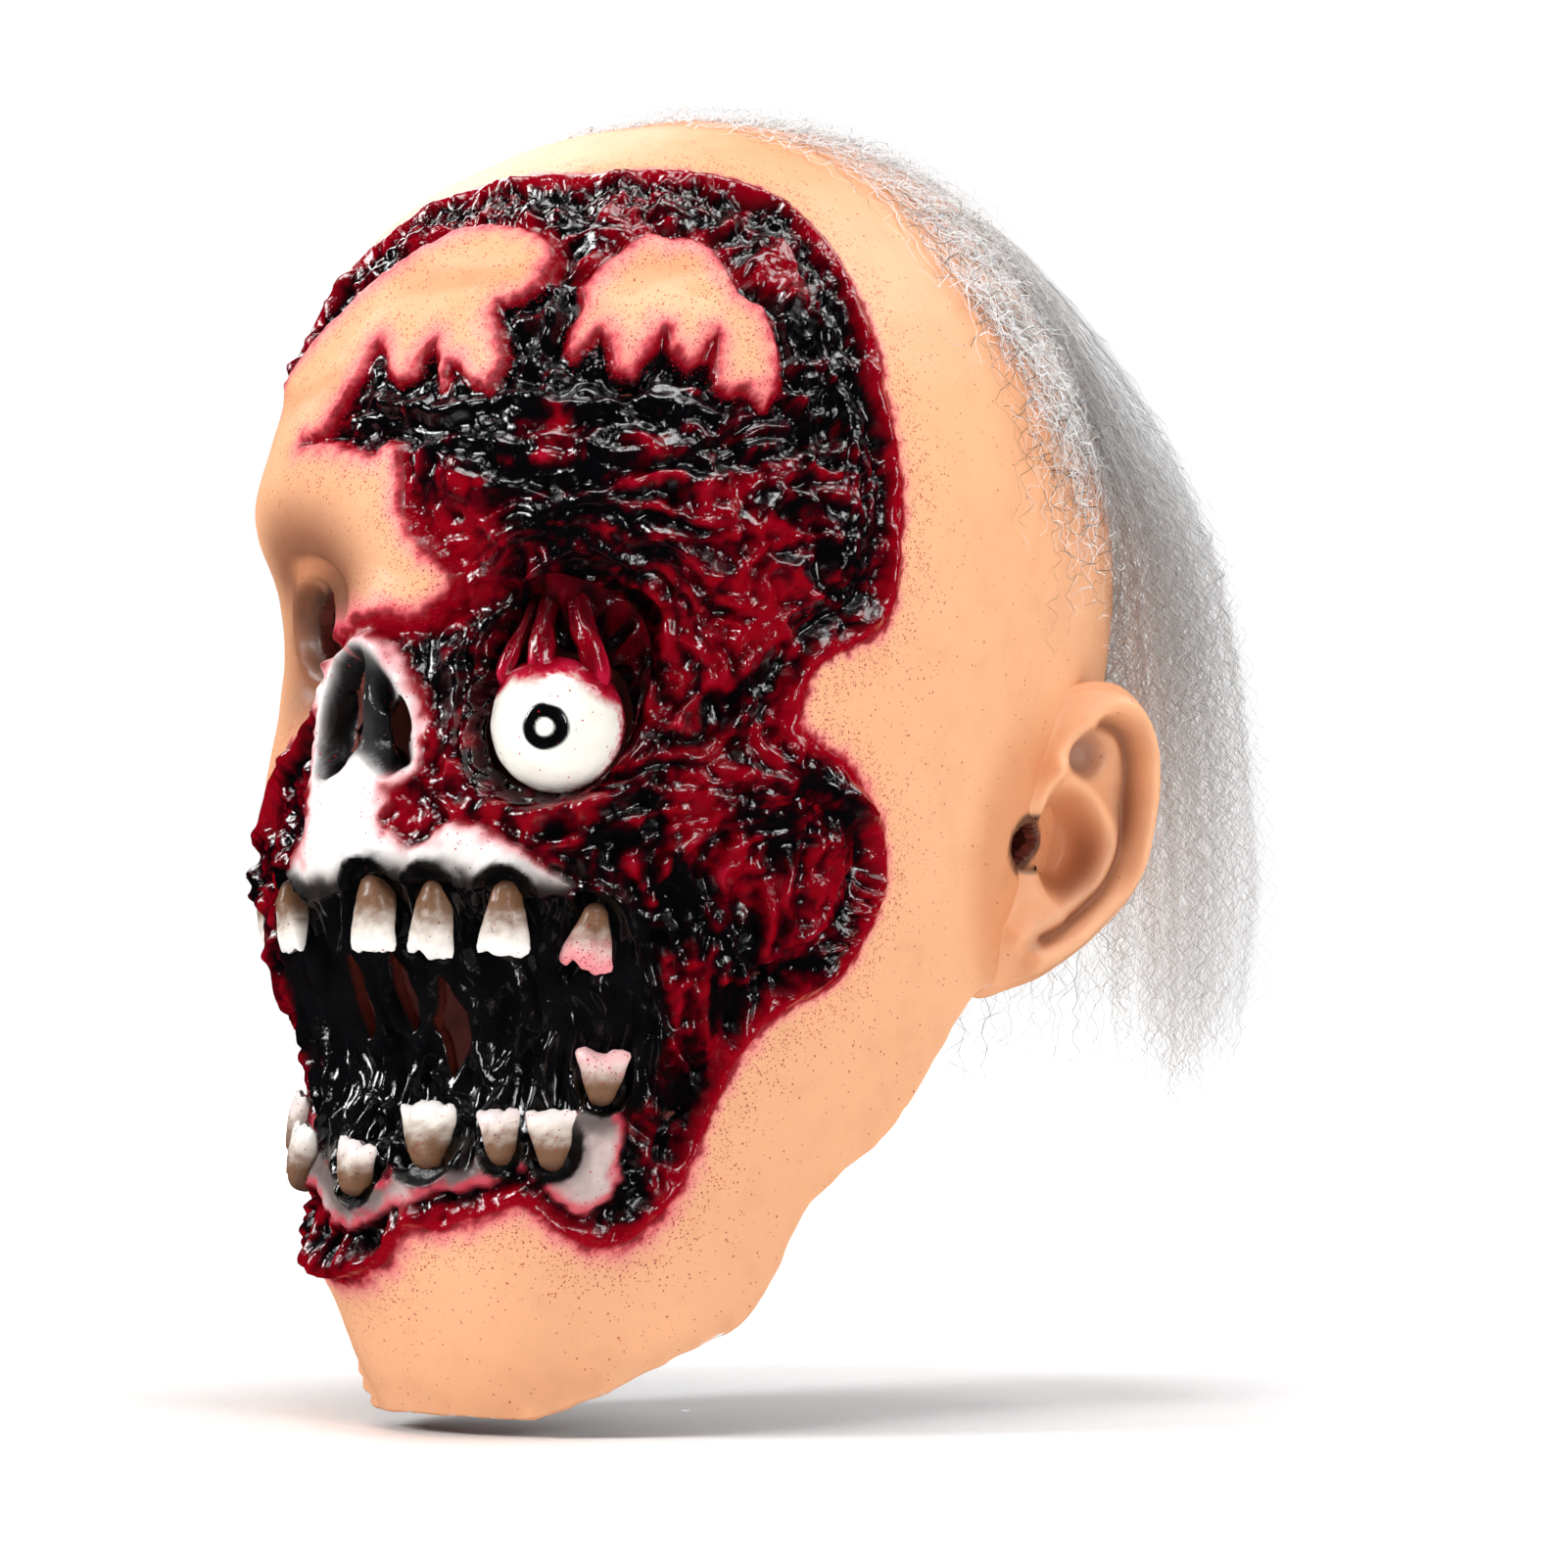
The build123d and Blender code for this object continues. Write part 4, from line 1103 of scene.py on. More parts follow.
# ---------------------------------------------------------------- teeth
TOOTH_SHAPE = [(-1.0, 0.05), (-0.95, 0.26), (-0.8, 0.42), (-0.4, 0.60), (0.0, 0.77), (0.5, 0.96), (0.8, 1.05),
               (0.95, 1.0), (1.0, 0.7)]  # along the tooth from the gum to the tip, share of the half width
TOOTH_MARKS = {  # notches in the tip as sideways, depth, width in mm; pinkness
    "tooth_upper_2": ([(2.0, 1.2, 1.0)], 0.0),
    "tooth_upper_3": ([(-1.5, 0.6, 1.5)], 0.0),
    "tooth_upper_4": ([(-2.6, 2.6, 1.9), (0.4, -1.2, 1.2)], 0.0),
    "tooth_upper_5": ([(-3.2, 1.0, 1.2), (3.4, -0.6, 1.2)], 0.0),
    "tooth_upper_6": ([(-2.4, 2.8, 1.3), (2.2, -1.6, 1.6)], 0.9),
    "tooth_lower_1": ([(1.0, 1.4, 1.0)], 0.1),
    "tooth_lower_2": ([(-1.8, 1.6, 1.3)], 0.0),
    "tooth_lower_3": ([(2.2, 0.9, 1.2)], 0.1),
    "tooth_lower_4": ([(-4.5, 2.2, 2.2), (4.8, 1.4, 1.4)], 0.0),
    "tooth_lower_5": ([(1.8, 1.6, 0.9)], 0.15),
    "tooth_lower_6": ([(-2.4, 1.0, 1.0)], 0.1),
    "tooth_lower_7": ([(-0.4, 2.0, 1.7)], 0.55),
}


def tooth(name, place, seed):
    """One irregular latex tooth: narrow at the gum, broad, chipped and thin at the tip."""
    azimuth, z0, width, length, lean, side = place
    notches, pink = TOOTH_MARKS.get(name, ([], 0.0))
    around, along = 44, 40
    theta = np.linspace(0, 2 * pi, around, endpoint=False)
    s = np.sin(np.linspace(-pi / 2, pi / 2, along))
    T, S = np.meshgrid(theta, s)
    half = np.interp(S, *zip(*TOOTH_SHAPE)) * width / 2
    thick = 3.6 * (0.80 - 0.30 * S) * np.sqrt(np.clip(1 - np.abs(S) ** 5, 0.02, 1))
    ct, st = np.cos(T), np.sin(T)
    px = half * np.sign(ct) * np.abs(ct) ** 0.85
    py = thick * np.sign(st) * np.abs(st) ** 0.85
    px = px * (1 + 0.10 * noise(S * 1.3, seed, 0.3, seed))
    px = px + 0.05 * width * noise(S * 1.1, seed, 0.9, seed + 1)
    pz = S * length / 2
    cut = np.zeros(S.shape)
    for u0, depth, wide in notches:
        cut += 0.5 * depth * bell(px, u0, wide)
    pz = pz - cut * step(S, 0.2, 1.0) + 0.5 * noise(px / 1.6, seed, 0.2, 5) * step(S, 0.3, 1.0)
    bulge = 0.9 * (1 - S**2) * np.clip(-py, 0, 9) / 3.6
    py = py - bulge - 0.35 * (1 - np.abs(px) / (width / 2)) * (S > -0.5)
    ridge = 0.22 * noise(px / 1.1, seed * 3.1, S * 0.9, 7) + 0.12 * noise(px / 0.5, py / 0.5, pz / 0.7, 8)
    py = py + ridge * np.where(st < 0, 1, -1)
    w = -side * pz  # the tip hangs down in the upper row and stands up in the lower
    lean_c, lean_s = cos(radians(lean)), sin(radians(lean))
    across, up = px * lean_c - w * lean_s, px * lean_s + w * lean_c
    radius = float(base_radius(np.array([azimuth]), np.array([float(z0)]))[0])
    tilt = radians(9) * S * length / 2 / 8
    reach = radius + (1.5 if azimuth > FAR_TOOTH else -2.5) - py + 8 * tilt * 0.55
    out, left = from_axis(1.0, azimuth, 0.0), from_axis(1.0, azimuth + 90, 0.0)
    points = reach[..., None] * out + across[..., None] * left + (z0 + up)[..., None] * UP
    faces = strip_faces(around, along)
    if side > 0:
        faces = faces[:, ::-1]
    sunk = 0.3 * noise(px / 2.2, pz / 2.2, seed, 11) + 0.15 * noise(px / 0.6, pz / 0.6, seed, 12)
    stain = step(S + sunk, 0.80, -0.35)
    colours = layered(
        IVORY,
        (TEA, 0.95 * stain),
        (UMBER, 0.7 * step(S, -0.55, -0.95)),
        (CHALK, 0.8 * step(S, 0.35, 0.9)),
        (PINK, pink * step(S + 0.3 * noise(px / 2.2, pz / 2.2, 0.5, 13), -0.2, 0.9)))
    speck = 0.25 + 0.75 * stain * (S > -0.9)
    masks = np.stack([np.full(S.shape, 0.42), speck, 0.12 + 0.88 * pink * step(S, -0.2, 0.6)], -1)
    made = mesh_object(name + "_form", points, faces, colours, masks)
    finish_piece(made, TOOTH, node=name)


FAR_TOOTH = -35.5  # teeth beyond this azimuth are sunk further into the gum
TOOTH = painted("tooth_latex", pores=0.04, wrinkles=0.16)
for i, place in enumerate(TEETH):
    name = f"tooth_upper_{i + 1}" if i < 6 else f"tooth_lower_{i - 5}"
    tooth(name, place, 200 + i * 7)


# ---------------------------------------------------------------- the hanging eyeball
EYE_REACH, EYE_Z, EYE_R = 89, 24.5, 14.0
EYE_SIDE = np.array([cos(radians(EYE_AZ)), sin(radians(EYE_AZ)), 0])
EYE_MIDDLE = EYE_OUT * EYE_REACH + UP * EYE_Z + EYE_SIDE * 1.2
STRANDS = {  # points as sideways, reach, height from the brow down to the ball; radii
    "eye_strand_inner": (
        [(-4.6, 80.5, 56), (-5.4, 84, 51), (-6.2, 88, 45.5), (-8.0, 91, 40), (-9.6, 92, 35.5)],
        [1.7, 1.3, 1.2, 1.7, 3.2]),
    "eye_strand_middle": (
        [(-0.6, 81, 56), (-1.2, 85.5, 51), (-1.6, 89.5, 46), (-1.2, 92, 41.5), (-0.8, 93, 37.5)],
        [2.2, 2.0, 2.1, 2.8, 4.4]),
    "eye_strand_outer": (
        [(4.6, 81, 56.5), (4.8, 85.5, 51.5), (6.4, 89.5, 46), (9.2, 91.5, 40.5), (11.0, 91, 34.5)],
        [2.5, 2.3, 2.5, 2.9, 3.9]),
}


def eye_point(side, reach, up):
    return EYE_OUT * reach + EYE_SIDE * side + UP * up


def ball_noise(d, scale, seed):
    return noise(d[..., 0] * scale, d[..., 1] * scale, d[..., 2] * scale, seed)


def ball():
    """The eyeball: red where the strands hold it and round its back, with a painted ring iris."""
    rows, cols = 120, 200
    phi = np.linspace(0.001, pi - 0.001, rows)
    theta = np.linspace(0, 2 * pi, cols, endpoint=False)
    TH, PH = np.meshgrid(theta, phi)
    d = np.stack([np.sin(PH) * np.cos(TH), np.sin(PH) * np.sin(TH), np.cos(PH)], -1)
    iris = np.array([sin(radians(32)), -cos(radians(32)), -0.02])
    arc = np.arccos(np.clip(d @ iris, -1, 1)) * EYE_R
    wob = 0.30 * ball_noise(d, 3, 301)
    lump = 0.16 * ball_noise(d, 3.3, 303) + 0.05 * ball_noise(d, 11, 304)
    raise_by = lump + 0.35 * step(arc + wob, 5.2, 4.4) - 0.25 * step(arc + wob, 1.9, 1.3)
    flesh = np.zeros(TH.shape)
    for points, radii in STRANDS.values():
        foot = eye_point(*points[-1]) - EYE_MIDDLE
        foot = foot / np.linalg.norm(foot)
        gap = np.arccos(np.clip(d @ foot, -1, 1)) * EYE_R
        flesh = np.maximum(flesh, np.exp(-((gap / (radii[-1] * 1.9)) ** 2)))
        raise_by = raise_by + 0.7 * np.exp(-((gap / (radii[-1] * 1.5)) ** 2))
    points = EYE_MIDDLE + d * (EYE_R + raise_by)[..., None]
    cream = srgb(255, 253, 246)
    colours = mix(cream, srgb(246, 238, 220), 0.3 + 0.3 * ball_noise(d, 4, 305))
    colours = mix(colours, cream, step(arc, 11, 5))
    front, side, up = d @ EYE_OUT, d @ EYE_SIDE, d[..., 2]
    ragged = 0.16 * ball_noise(d, 9, 306) + 0.10 * ball_noise(d, 24, 307)
    blush = step(front + ragged + 0.10 * side, 0.34, 0.06)
    blush = np.clip(blush + step(up + 0.7 * ragged + 0.12 * side, 0.62, 0.84), 0, 1)
    colours = mix(colours, PINK, 0.85 * blush)
    red = step(front + ragged, 0.12, -0.10) + step(up + 0.7 * ragged + 0.15 * side, 0.76, 0.93)
    red = np.clip(red + step(flesh + 0.3 * ragged, 0.28, 0.62), 0, 1)
    colours = layered(
        colours,
        (ROSE * 0.8, red),
        (CRIMSON, step(flesh + 0.5 * ragged, 0.5, 0.9)),
        (SOOT * 1.1, step(arc + wob, 5.15, 4.65)),
        (BLACK, step(arc + wob, 4.7, 3.8)),
        (cream, step(arc + 1.8 * wob, 1.95, 1.5)))
    masks = np.stack([0.8 + 0.2 * red, 0.10 * (arc > 6), 0.10 + 0.7 * blush], -1)
    made = mesh_object("eyeball_form", points, strip_faces(cols, rows, flip=True), colours, masks)
    finish_piece(made, EYE, "eyeball", "eyeball")


def tube(path, radii, sides, parts, fibre, seed):
    """Points and faces of a lumpy cord along a smooth line; radii are given at the line's own points."""
    line = rounded(path, closed=False, parts=parts)
    t = np.linspace(0, 1, len(line))
    r = np.interp(t, np.linspace(0, 1, len(radii)), radii)
    ahead = np.gradient(line, axis=0)
    ahead /= np.linalg.norm(ahead, axis=1)[:, None]
    a = np.cross(ahead, (0.31, 0.86, 0.41))
    a /= np.linalg.norm(a, axis=1)[:, None]
    b = np.cross(ahead, a)
    turn, along = np.meshgrid(np.linspace(0, 2 * pi, sides, endpoint=False), t * len(path))
    ct, st = np.cos(turn), np.sin(turn)
    wave = fibre * noise(ct * 1.5, st * 1.5, along * 0.8 + seed, seed)
    wave = wave + 0.5 * fibre * noise(ct * 3.4, st * 3.4, along * 0.7, seed + 3)
    round_line = ct[..., None] * a[:, None, :] + st[..., None] * b[:, None, :]
    points = line[:, None, :] + (r[:, None] * (1 + wave))[..., None] * round_line
    return points.reshape(-1, 3), strip_faces(sides, len(line)), np.repeat(t, sides), wave.reshape(-1)


EYE = painted("eyeball_latex", pores=0.02, wrinkles=0.05)
ball()
for i, (name, (points, radii)) in enumerate(STRANDS.items()):
    path = [eye_point(*q) for q in points]
    path[-1] = EYE_MIDDLE + (path[-1] - EYE_MIDDLE) * 0.98
    path.append(EYE_MIDDLE + (path[-1] - EYE_MIDDLE) * 0.72)
    verts, faces, t, wave = tube(path, radii[:-1] + [radii[-1] * 0.62, radii[-1] * 0.4], 26, 9, 0.22, 311 + i)
    flesh = layered(
        WINE,
        (CRIMSON, step(wave + 0.4 * t, -0.05, 0.45)),
        (ROSE * 0.8, 0.9 * step(t + wave, 0.62, 0.9)),
        (BLACK, (0.9, 0.65, 0.35)[i] * step(t - wave, 0.55, 0.15)))
    made = mesh_object(name + "_form", verts, faces, flesh, WET)
    made.data.materials.append(GORE)
    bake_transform(made)
    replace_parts(made, name)


# ---------------------------------------------------------------- ears
# An ear is drawn on a plane that leans out from the head: back and up from the ear hole, in millimetres.
EAR_MIDDLE = np.array([71.0, 32.0, 0.0])
EAR_BACK = np.array([sin(radians(25)), cos(radians(25)), 0])
EAR_OUT = np.array([cos(radians(25)), -sin(radians(25)), 0])
EAR_EDGE = [(-6, 12), (-5, 20), (-2, 27.5), (3.5, 31.5), (11, 34), (18.5, 35.2), (24.5, 33.8), (29.5, 29),
            (32.4, 21.5), (33, 14), (32, 5.5), (30, -3.5), (26, -11), (20, -17.3), (12.7, -22.8),
            (4, -28.3), (-3, -31), (-10, -32.7), (-15, -32), (-15.5, -25), (-12, -15), (-8, -4), (-6.5, 4)]
# height, and how far back the ear leaves the cheek
EAR_ROOT = [(-34, -17.5), (-27.5, -15.5), (-19.5, -11), (-14, -8), (-8, -5.6), (-3.7, -4), (1.6, -3),
            (5, -2.4), (12, -2.2), (20, -1.4), (29, 2), (35, 8)]
HELIX = [(1.5, 8), (5, 15.5), (9.5, 21.5), (14.2, 26.7), (20, 30.2), (25.4, 28.8), (29.3, 23.5),
         (30.3, 14.5), (29.3, 5.5), (27, -3.7), (23, -10.3), (17.3, -16), (9.8, -21.4), (1.5, -25.2)]
GROOVE = [(18, 26.2), (22.6, 24.6), (24.9, 20), (25.6, 11), (25, 4.2), (23.2, -1.6), (20, -8),
          (14.4, -13.6), (8.6, -17.8), (3, -20.4)]
ANTIHELIX = [(6.6, 15.4), (13.2, 12), (17.8, 7), (20.4, 1.6), (19.8, -3.4), (15.8, -8.8), (9.6, -13.4),
             (2.9, -17), (-3.5, -19.8)]
TRAGUS = [(-1.6, 8), (-2.2, 5), (-2.4, 2)]


def near_line(b, u, points):
    line = rounded(points, closed=False, parts=6)
    best = np.full(b.shape, 99.0)
    for p, q in zip(line, line[1:]):
        d = q - p
        t = np.clip(((b - p[0]) * d[0] + (u - p[1]) * d[1]) / (d @ d), 0, 1)
        best = np.minimum(best, np.hypot(b - p[0] - t * d[0], u - p[1] - t * d[1]))
    return best


def ear_point(b, u, out):
    """Where a place on the ear's plane is in the space of the head."""
    return EAR_MIDDLE + b[..., None] * EAR_BACK + u[..., None] * UP + out[..., None] * EAR_OUT


def head_under(b, u):
    """How far out the head's skin is at each place on the ear's plane."""
    out = np.zeros(b.shape)
    for _ in range(14):
        p = ear_point(b, u, out)
        azimuth = np.degrees(np.arctan2(p[..., 0], -p[..., 1]))
        out = out + 0.85 * (base_radius(azimuth, u) - np.hypot(p[..., 0], p[..., 1]))
    return out


def ear_relief(b, u):
    helix, groove = near_line(b, u, HELIX), near_line(b, u, GROOVE)
    anti, tragus = near_line(b, u, ANTIHELIX), near_line(b, u, TRAGUS)
    bowl = np.hypot((b - 9.5) / 8.6, (u + 0.5) / 12.8)
    inner = step(np.hypot((b - 14.5) / 12.5, (u - 3) / 24), 1.05, 0.8)
    relief = 4.2 * bell(helix, 0, 3.0) + 3.6 * bell(anti, 0, 3.1) - 2.2 * bell(groove, 0, 1.7)
    relief += -6.8 * step(bowl, 1.08, 0.35) - 2.0 * inner
    relief += -3.6 * step(np.hypot((b - 14.3) / 5.4, (u - 19.4) / 5.2), 1.15, 0.3)
    relief += 2.0 * bell(tragus, 0, 2.0) - 0.10 * np.clip(b - 5, 0, 40)
    return relief, helix, groove, anti, bowl


def ear(name, mirror):
    around, rings = 190, 64
    edge = rounded(EAR_EDGE, closed=True, parts=10)
    sides = np.linalg.norm(np.diff(np.vstack([edge, edge[:1]]), axis=0), axis=1)
    length = np.concatenate([[0], np.cumsum(sides)])
    want = np.linspace(0, length[-1], around, endpoint=False)
    loop = np.stack([np.interp(want, length, np.append(edge[:, i], edge[0, i])) for i in (0, 1)], -1)
    middle = np.array([9.0, 1.5])
    share = np.linspace(0.01, 1, rings) ** 0.85
    front = middle + (loop[None] - middle) * share[:, None, None]
    b, u = front[..., 0], front[..., 1]
    relief, helix, groove, anti, bowl = ear_relief(b, u)
    inset = (1 - share)[:, None] * np.linalg.norm(loop - middle, axis=1)
    relief = relief - 2.0 * step(inset, 2.2, 0.0)
    relief = relief + 0.25 * noise(b / 6, u / 6, 0.3, 401) + 0.06 * noise(b / 1.3, u / 1.3, 0.3, 402)
    under = head_under(b, u)
    leave = b - np.interp(u, *zip(*EAR_ROOT))
    rise = step(leave, -2.5, 8.5)
    top = under - 0.9 + (relief - under + 0.9) * rise
    top = np.maximum(top, under - 1.3)
    # the ear's colour: skin with random tan, then painted shade in the bowl and a darker ring low in it
    shade = layered(
        PEACH,
        (TAN, 0.42 + 0.14 * noise(b / 9, u / 9, 0.5, 403)),
        (TAN * [0.80, 0.72, 0.66], 0.85 * step(bowl, 1.25, 0.55) * step(leave, 0, 3)),
        (BROWN, 0.75 * bell(bowl, 0.78, 0.22) * step(b, 4, 12) * step(u, 8, -2)))
    # painted shade in the hollow above the antihelix, along and beside the groove, where the ear's top meets
    # the head, at its root blending into the head's painted shade, and round the ear hole; painted highlight
    # on the helix and antihelix ridges
    fossa = step(np.hypot((b - 14.5) / 6.5, (u - 19.5) / 6.5), 1.2, 0.3)
    shade = layered(
        shade,
        (srgb(166, 128, 112), 0.85 * fossa),
        (BROWN, 0.72 * bell(groove, 0, 1.5) + 0.25 * bell(groove, 0, 4.0)),
        (srgb(196, 150, 126), 0.5 * bell(groove, 3.2, 1.4) * step(u, 16, 6)),
        (PEACH * 1.03, 0.7 * bell(helix, 0, 1.9) + 0.35 * bell(anti, 0, 1.6)),
        (BROWN, 0.55 * step(leave, 1.6, -0.4) * step(u, 20, 30)),
        (mix(PEACH, TAN, 0.45 + 0 * b), step(leave, 2.2, 0.0) * 0.8 * (u < 24)),
        (UMBER, 0.7 * step(np.hypot((b - 0.4) / 6.8, u / 6.2), 1.10, 1.0)))
    rows, tints = [np.stack([b, u, top], -1)], [shade]
    # the rolled rim is a little darker, painted shade on its underside
    rim_shade = mix(shade[-1], TAN, np.full(around, 0.3))
    for grow, drop in ((0.35, 1.0), (0.35, 2.4), (-0.3, 3.6)):
        ring = middle + (loop - middle) * (1 + grow / np.linalg.norm(loop - middle, axis=1))[:, None]
        z = np.maximum(top[-1] - drop, under[-1] - 1.5)
        rows.append(np.concatenate([ring, z[:, None]], 1)[None])
        tints.append(rim_shade[None])
    back = middle + (loop[None] - middle) * np.linspace(0.93, 0.05, 22)[:, None, None]
    bb, bu = back[..., 0], back[..., 1]
    behind = head_under(bb, bu)
    deep_bowl = step(np.hypot((bb - 9.5) / 10.5, (bu + 0.5) / 15), 1.1, 0.3)
    low = np.minimum(-3.6 + 0 * bb, ear_relief(bb, bu)[0] - 2.6) * 0.5 + (-4.6 - 5.2 * deep_bowl) * 0.5
    low = np.maximum(low, behind - 1.6)
    rows.append(np.stack([bb, bu, low], -1))
    tints.append(mix(PEACH, TAN, 0.45 + 0 * bb))
    grid, tints = np.concatenate(rows), np.concatenate(tints)
    points = ear_point(*np.moveaxis(grid, -1, 0))
    if mirror:
        points = points * [-1, 1, 1]
    faces = strip_faces(around, len(grid))
    centre = grid.reshape(-1, 3)[faces].mean(1)
    faces = faces[np.hypot((centre[:, 0] - 0.4) / 6.4, centre[:, 1] / 5.8) > 1]
    if not mirror:
        faces = faces[:, ::-1]
    made = mesh_object(name + "_form", points, faces, tints, (0.17, 0.16, 0.0))
    finish_piece(made, SKIN, node=name)


ear("ear_left", False)
ear("ear_right", True)


# ---------------------------------------------------------------- hair
HAIRLINE = [(-24, 170), (-20, 153), (-4, 145), (4, 132), (12, 115), (25, 96), (50, 86), (140, 78)]
SHADES = [srgb(255, 255, 254), srgb(246, 245, 246), srgb(214, 213, 214), srgb(128, 125, 126),
          srgb(48, 46, 47), srgb(118, 92, 62)]
WHITE_MIX = [0.56, 0.22, 0.10, 0.04, 0.08, 0.0]
TEMPLE_MIX = [0.16, 0.10, 0.12, 0.20, 0.12, 0.30]
random = np.random.RandomState(42)


def ribbons(name, lines, wide, shades, facing):
    """Thin flat strands, from their lines, their width along each line and the way they face."""
    ahead = np.gradient(lines, axis=1)
    side = np.cross(ahead, facing)
    side /= np.maximum(np.linalg.norm(side, axis=2), 1e-6)[..., None]
    half = side * (wide / 2)[..., None]
    points = np.stack([lines - half, lines + half], 2)
    count, steps = lines.shape[:2]
    first = (np.arange(count) * steps)[:, None] + np.arange(steps - 1)[None]
    a = first * 2
    faces = np.stack([a, a + 1, a + 3, a + 2], -1).reshape(-1, 4)
    colours = np.repeat(shades, steps * 2, axis=0)
    return mesh_object(name, points, faces, colours, (0.2, 0, 0))


def hair_material():
    t = Tree("crepe_hair")
    colour = t.add("ShaderNodeAttribute", attribute_name="tint").outputs["Color"]
    fade = t.noise(1.4, 2)
    colour = t.dim(colour, (0.62, 0.60, 0.60), t.ramp(fade, 0.4, 0.75, 0, 0.2))
    t.bump((t.noise(0.25, 2, stretch=(1, 1, 0.2)), 0.05))
    t.bsdf.inputs["Sheen Weight"].default_value = 0.5
    return t.end(colour, t.ramp(fade, 0.3, 0.7, 0.5, 0.65), specular=0.35)


HAIR = hair_material()
SCALP = shell_tree()


def pick_shades(count, chances):
    chosen = random.choice(len(SHADES), count, p=np.array(chances) / sum(chances))
    return np.array(SHADES)[chosen] * random.uniform(0.85, 1.08, (count, 1))


def crepe(count, steps, length, turns, size):
    """Small sideways waves along a strand, in two directions."""
    t = np.linspace(0, 1, steps)[None] * length[:, None]
    waves = []
    for _ in range(2):
        phase = random.uniform(0, 2 * pi, (count, 1))
        pace = random.uniform(0.8, 1.25, (count, 1)) * turns
        amp = random.uniform(0.4, 1.3, (count, 1)) * size * np.where(random.rand(count, 1) < 0.1, 2.2, 1.0)
        slow = np.cumsum(random.normal(0, 1, (count, steps)), axis=1)
        waves.append(amp * np.sin(t / pace * 2 * pi + phase) + 0.2 * size * slow * np.sqrt(13 / steps))
    return waves


def combed(name, starts, lengths, steps, lift, wander, wave, wide, chances, fall=1.0):
    """Strands laid on the scalp: each walks back and down over the skin, a little above it."""
    count = len(starts)
    lines = np.zeros((count, steps, 3))
    facing = np.zeros((count, steps, 3))
    drift = random.normal(0, wander, count)
    for i in range(count):
        p = Vector(starts[i])
        pace = lengths[i] / (steps - 1)
        bend = random.normal(0, 0.16)
        heading = drift[i]
        for k in range(steps):
            spot, normal = SCALP.find_nearest(p)[:2]
            if normal.dot(spot - Vector((0, 10, 20))) < 0:
                normal = -normal
            above = lift[i] * min(1.0, 0.25 + 2.4 * k / steps)
            p = spot + normal * above
            lines[i, k], facing[i, k] = p, normal
            flow = Vector((0.25 * spot.x / 60, 0.85, -0.75 * fall - 0.5 * min(max(spot.y, 0), 60) / 60))
            flow = flow - normal * flow.dot(normal)
            across = normal.cross(flow).normalized()
            flow.normalize()
            p = p + (flow + across * heading).normalized() * pace
            heading = heading * 0.94 + bend * 0.5 + random.normal(0, 0.12)
    ahead = np.gradient(lines, axis=1)
    side = np.cross(ahead, facing)
    side /= np.maximum(np.linalg.norm(side, axis=2), 1e-6)[..., None]
    sideways, outward = crepe(count, steps, lengths, wave[0], wave[1])
    lines = lines + side * sideways[..., None] + facing * np.abs(outward * 0.45)[..., None]
    taper = np.linspace(1, 0.45, steps)[None] * random.uniform(0.7, 1.2, (count, 1)) * wide
    made = ribbons(name, lines, taper, pick_shades(count, chances), facing)
    finish_piece(made, HAIR)
    return made


def scalp_points(count, low_edge, depth):
    """Random places on the scalp behind the hairline, denser near the crown's back."""
    found = []
    while len(found) < count:
        a, e = random.uniform(0, 2 * pi), np.arcsin(random.uniform(0.15, 1))
        d = Vector((cos(a) * np.cos(e), sin(a) * np.cos(e), np.sin(e)))
        spot = SCALP.ray_cast(Vector((0, 12, 75)) + d * 160, -d, 200)[0]
        if spot is None:
            continue
        edge = np.interp(spot.y, *zip(*low_edge))
        inside = spot.z - edge
        if inside < random.uniform(-depth, depth * 2.5) or spot.y < -22:
            continue
        found.append(spot)
    return found


few = 1.0
count = int(5200 * few)
starts = scalp_points(count, HAIRLINE, 3.0)
thick = random.uniform(0.4, 4.4, count) * random.uniform(0.3, 1, count)
for part in range(2):
    pick = slice(part * count // 2, (part + 1) * count // 2)
    lengths = random.uniform(20, 40, count)[pick]
    cap = combed(f"crown_hair_{part + 1}", starts[pick], lengths, 18, thick[pick], 0.55, (7.0, 1.1), 0.25,
                 WHITE_MIX)
    if part == 0:
        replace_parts(cap, "hair_cap")

# loose curls on the temple below the hairline
TEMPLES = [(64, 24, 92), (68, 30, 84), (66, 20, 104), (62, 14, 116), (70, 40, 82), (60, 8, 124)]
curl_starts = []
for _ in range(int(250 * few)):
    spot = np.array(TEMPLES[random.randint(len(TEMPLES))], float) + random.normal(0, 7, 3)
    if random.rand() < 0.4:
        spot[0] = -spot[0]
    curl_starts.append(Vector(spot))
count = len(curl_starts)
combed("temple_curls", curl_starts, random.uniform(16, 40, count), 44, random.uniform(0.3, 3.0, count), 1.3,
       (8.5, 2.6), 0.24, TEMPLE_MIX, fall=0.6)

LOCKS = [("left", 122, 165), ("back", 165, 195), ("right", 195, 238)]
# height, and how far the inside and the outside hang off the head
LOCK_SECTIONS = [(140, 0.4, 3.0), (122, 0.6, 7.0), (104, 0.8, 12), (88, 1.2, 17), (75, 1.8, 21), (60, 3, 25),
                 (40, 4, 29), (15, 5, 32), (-10, 6, 34), (-35, 8, 31), (-72, 10, 25)]


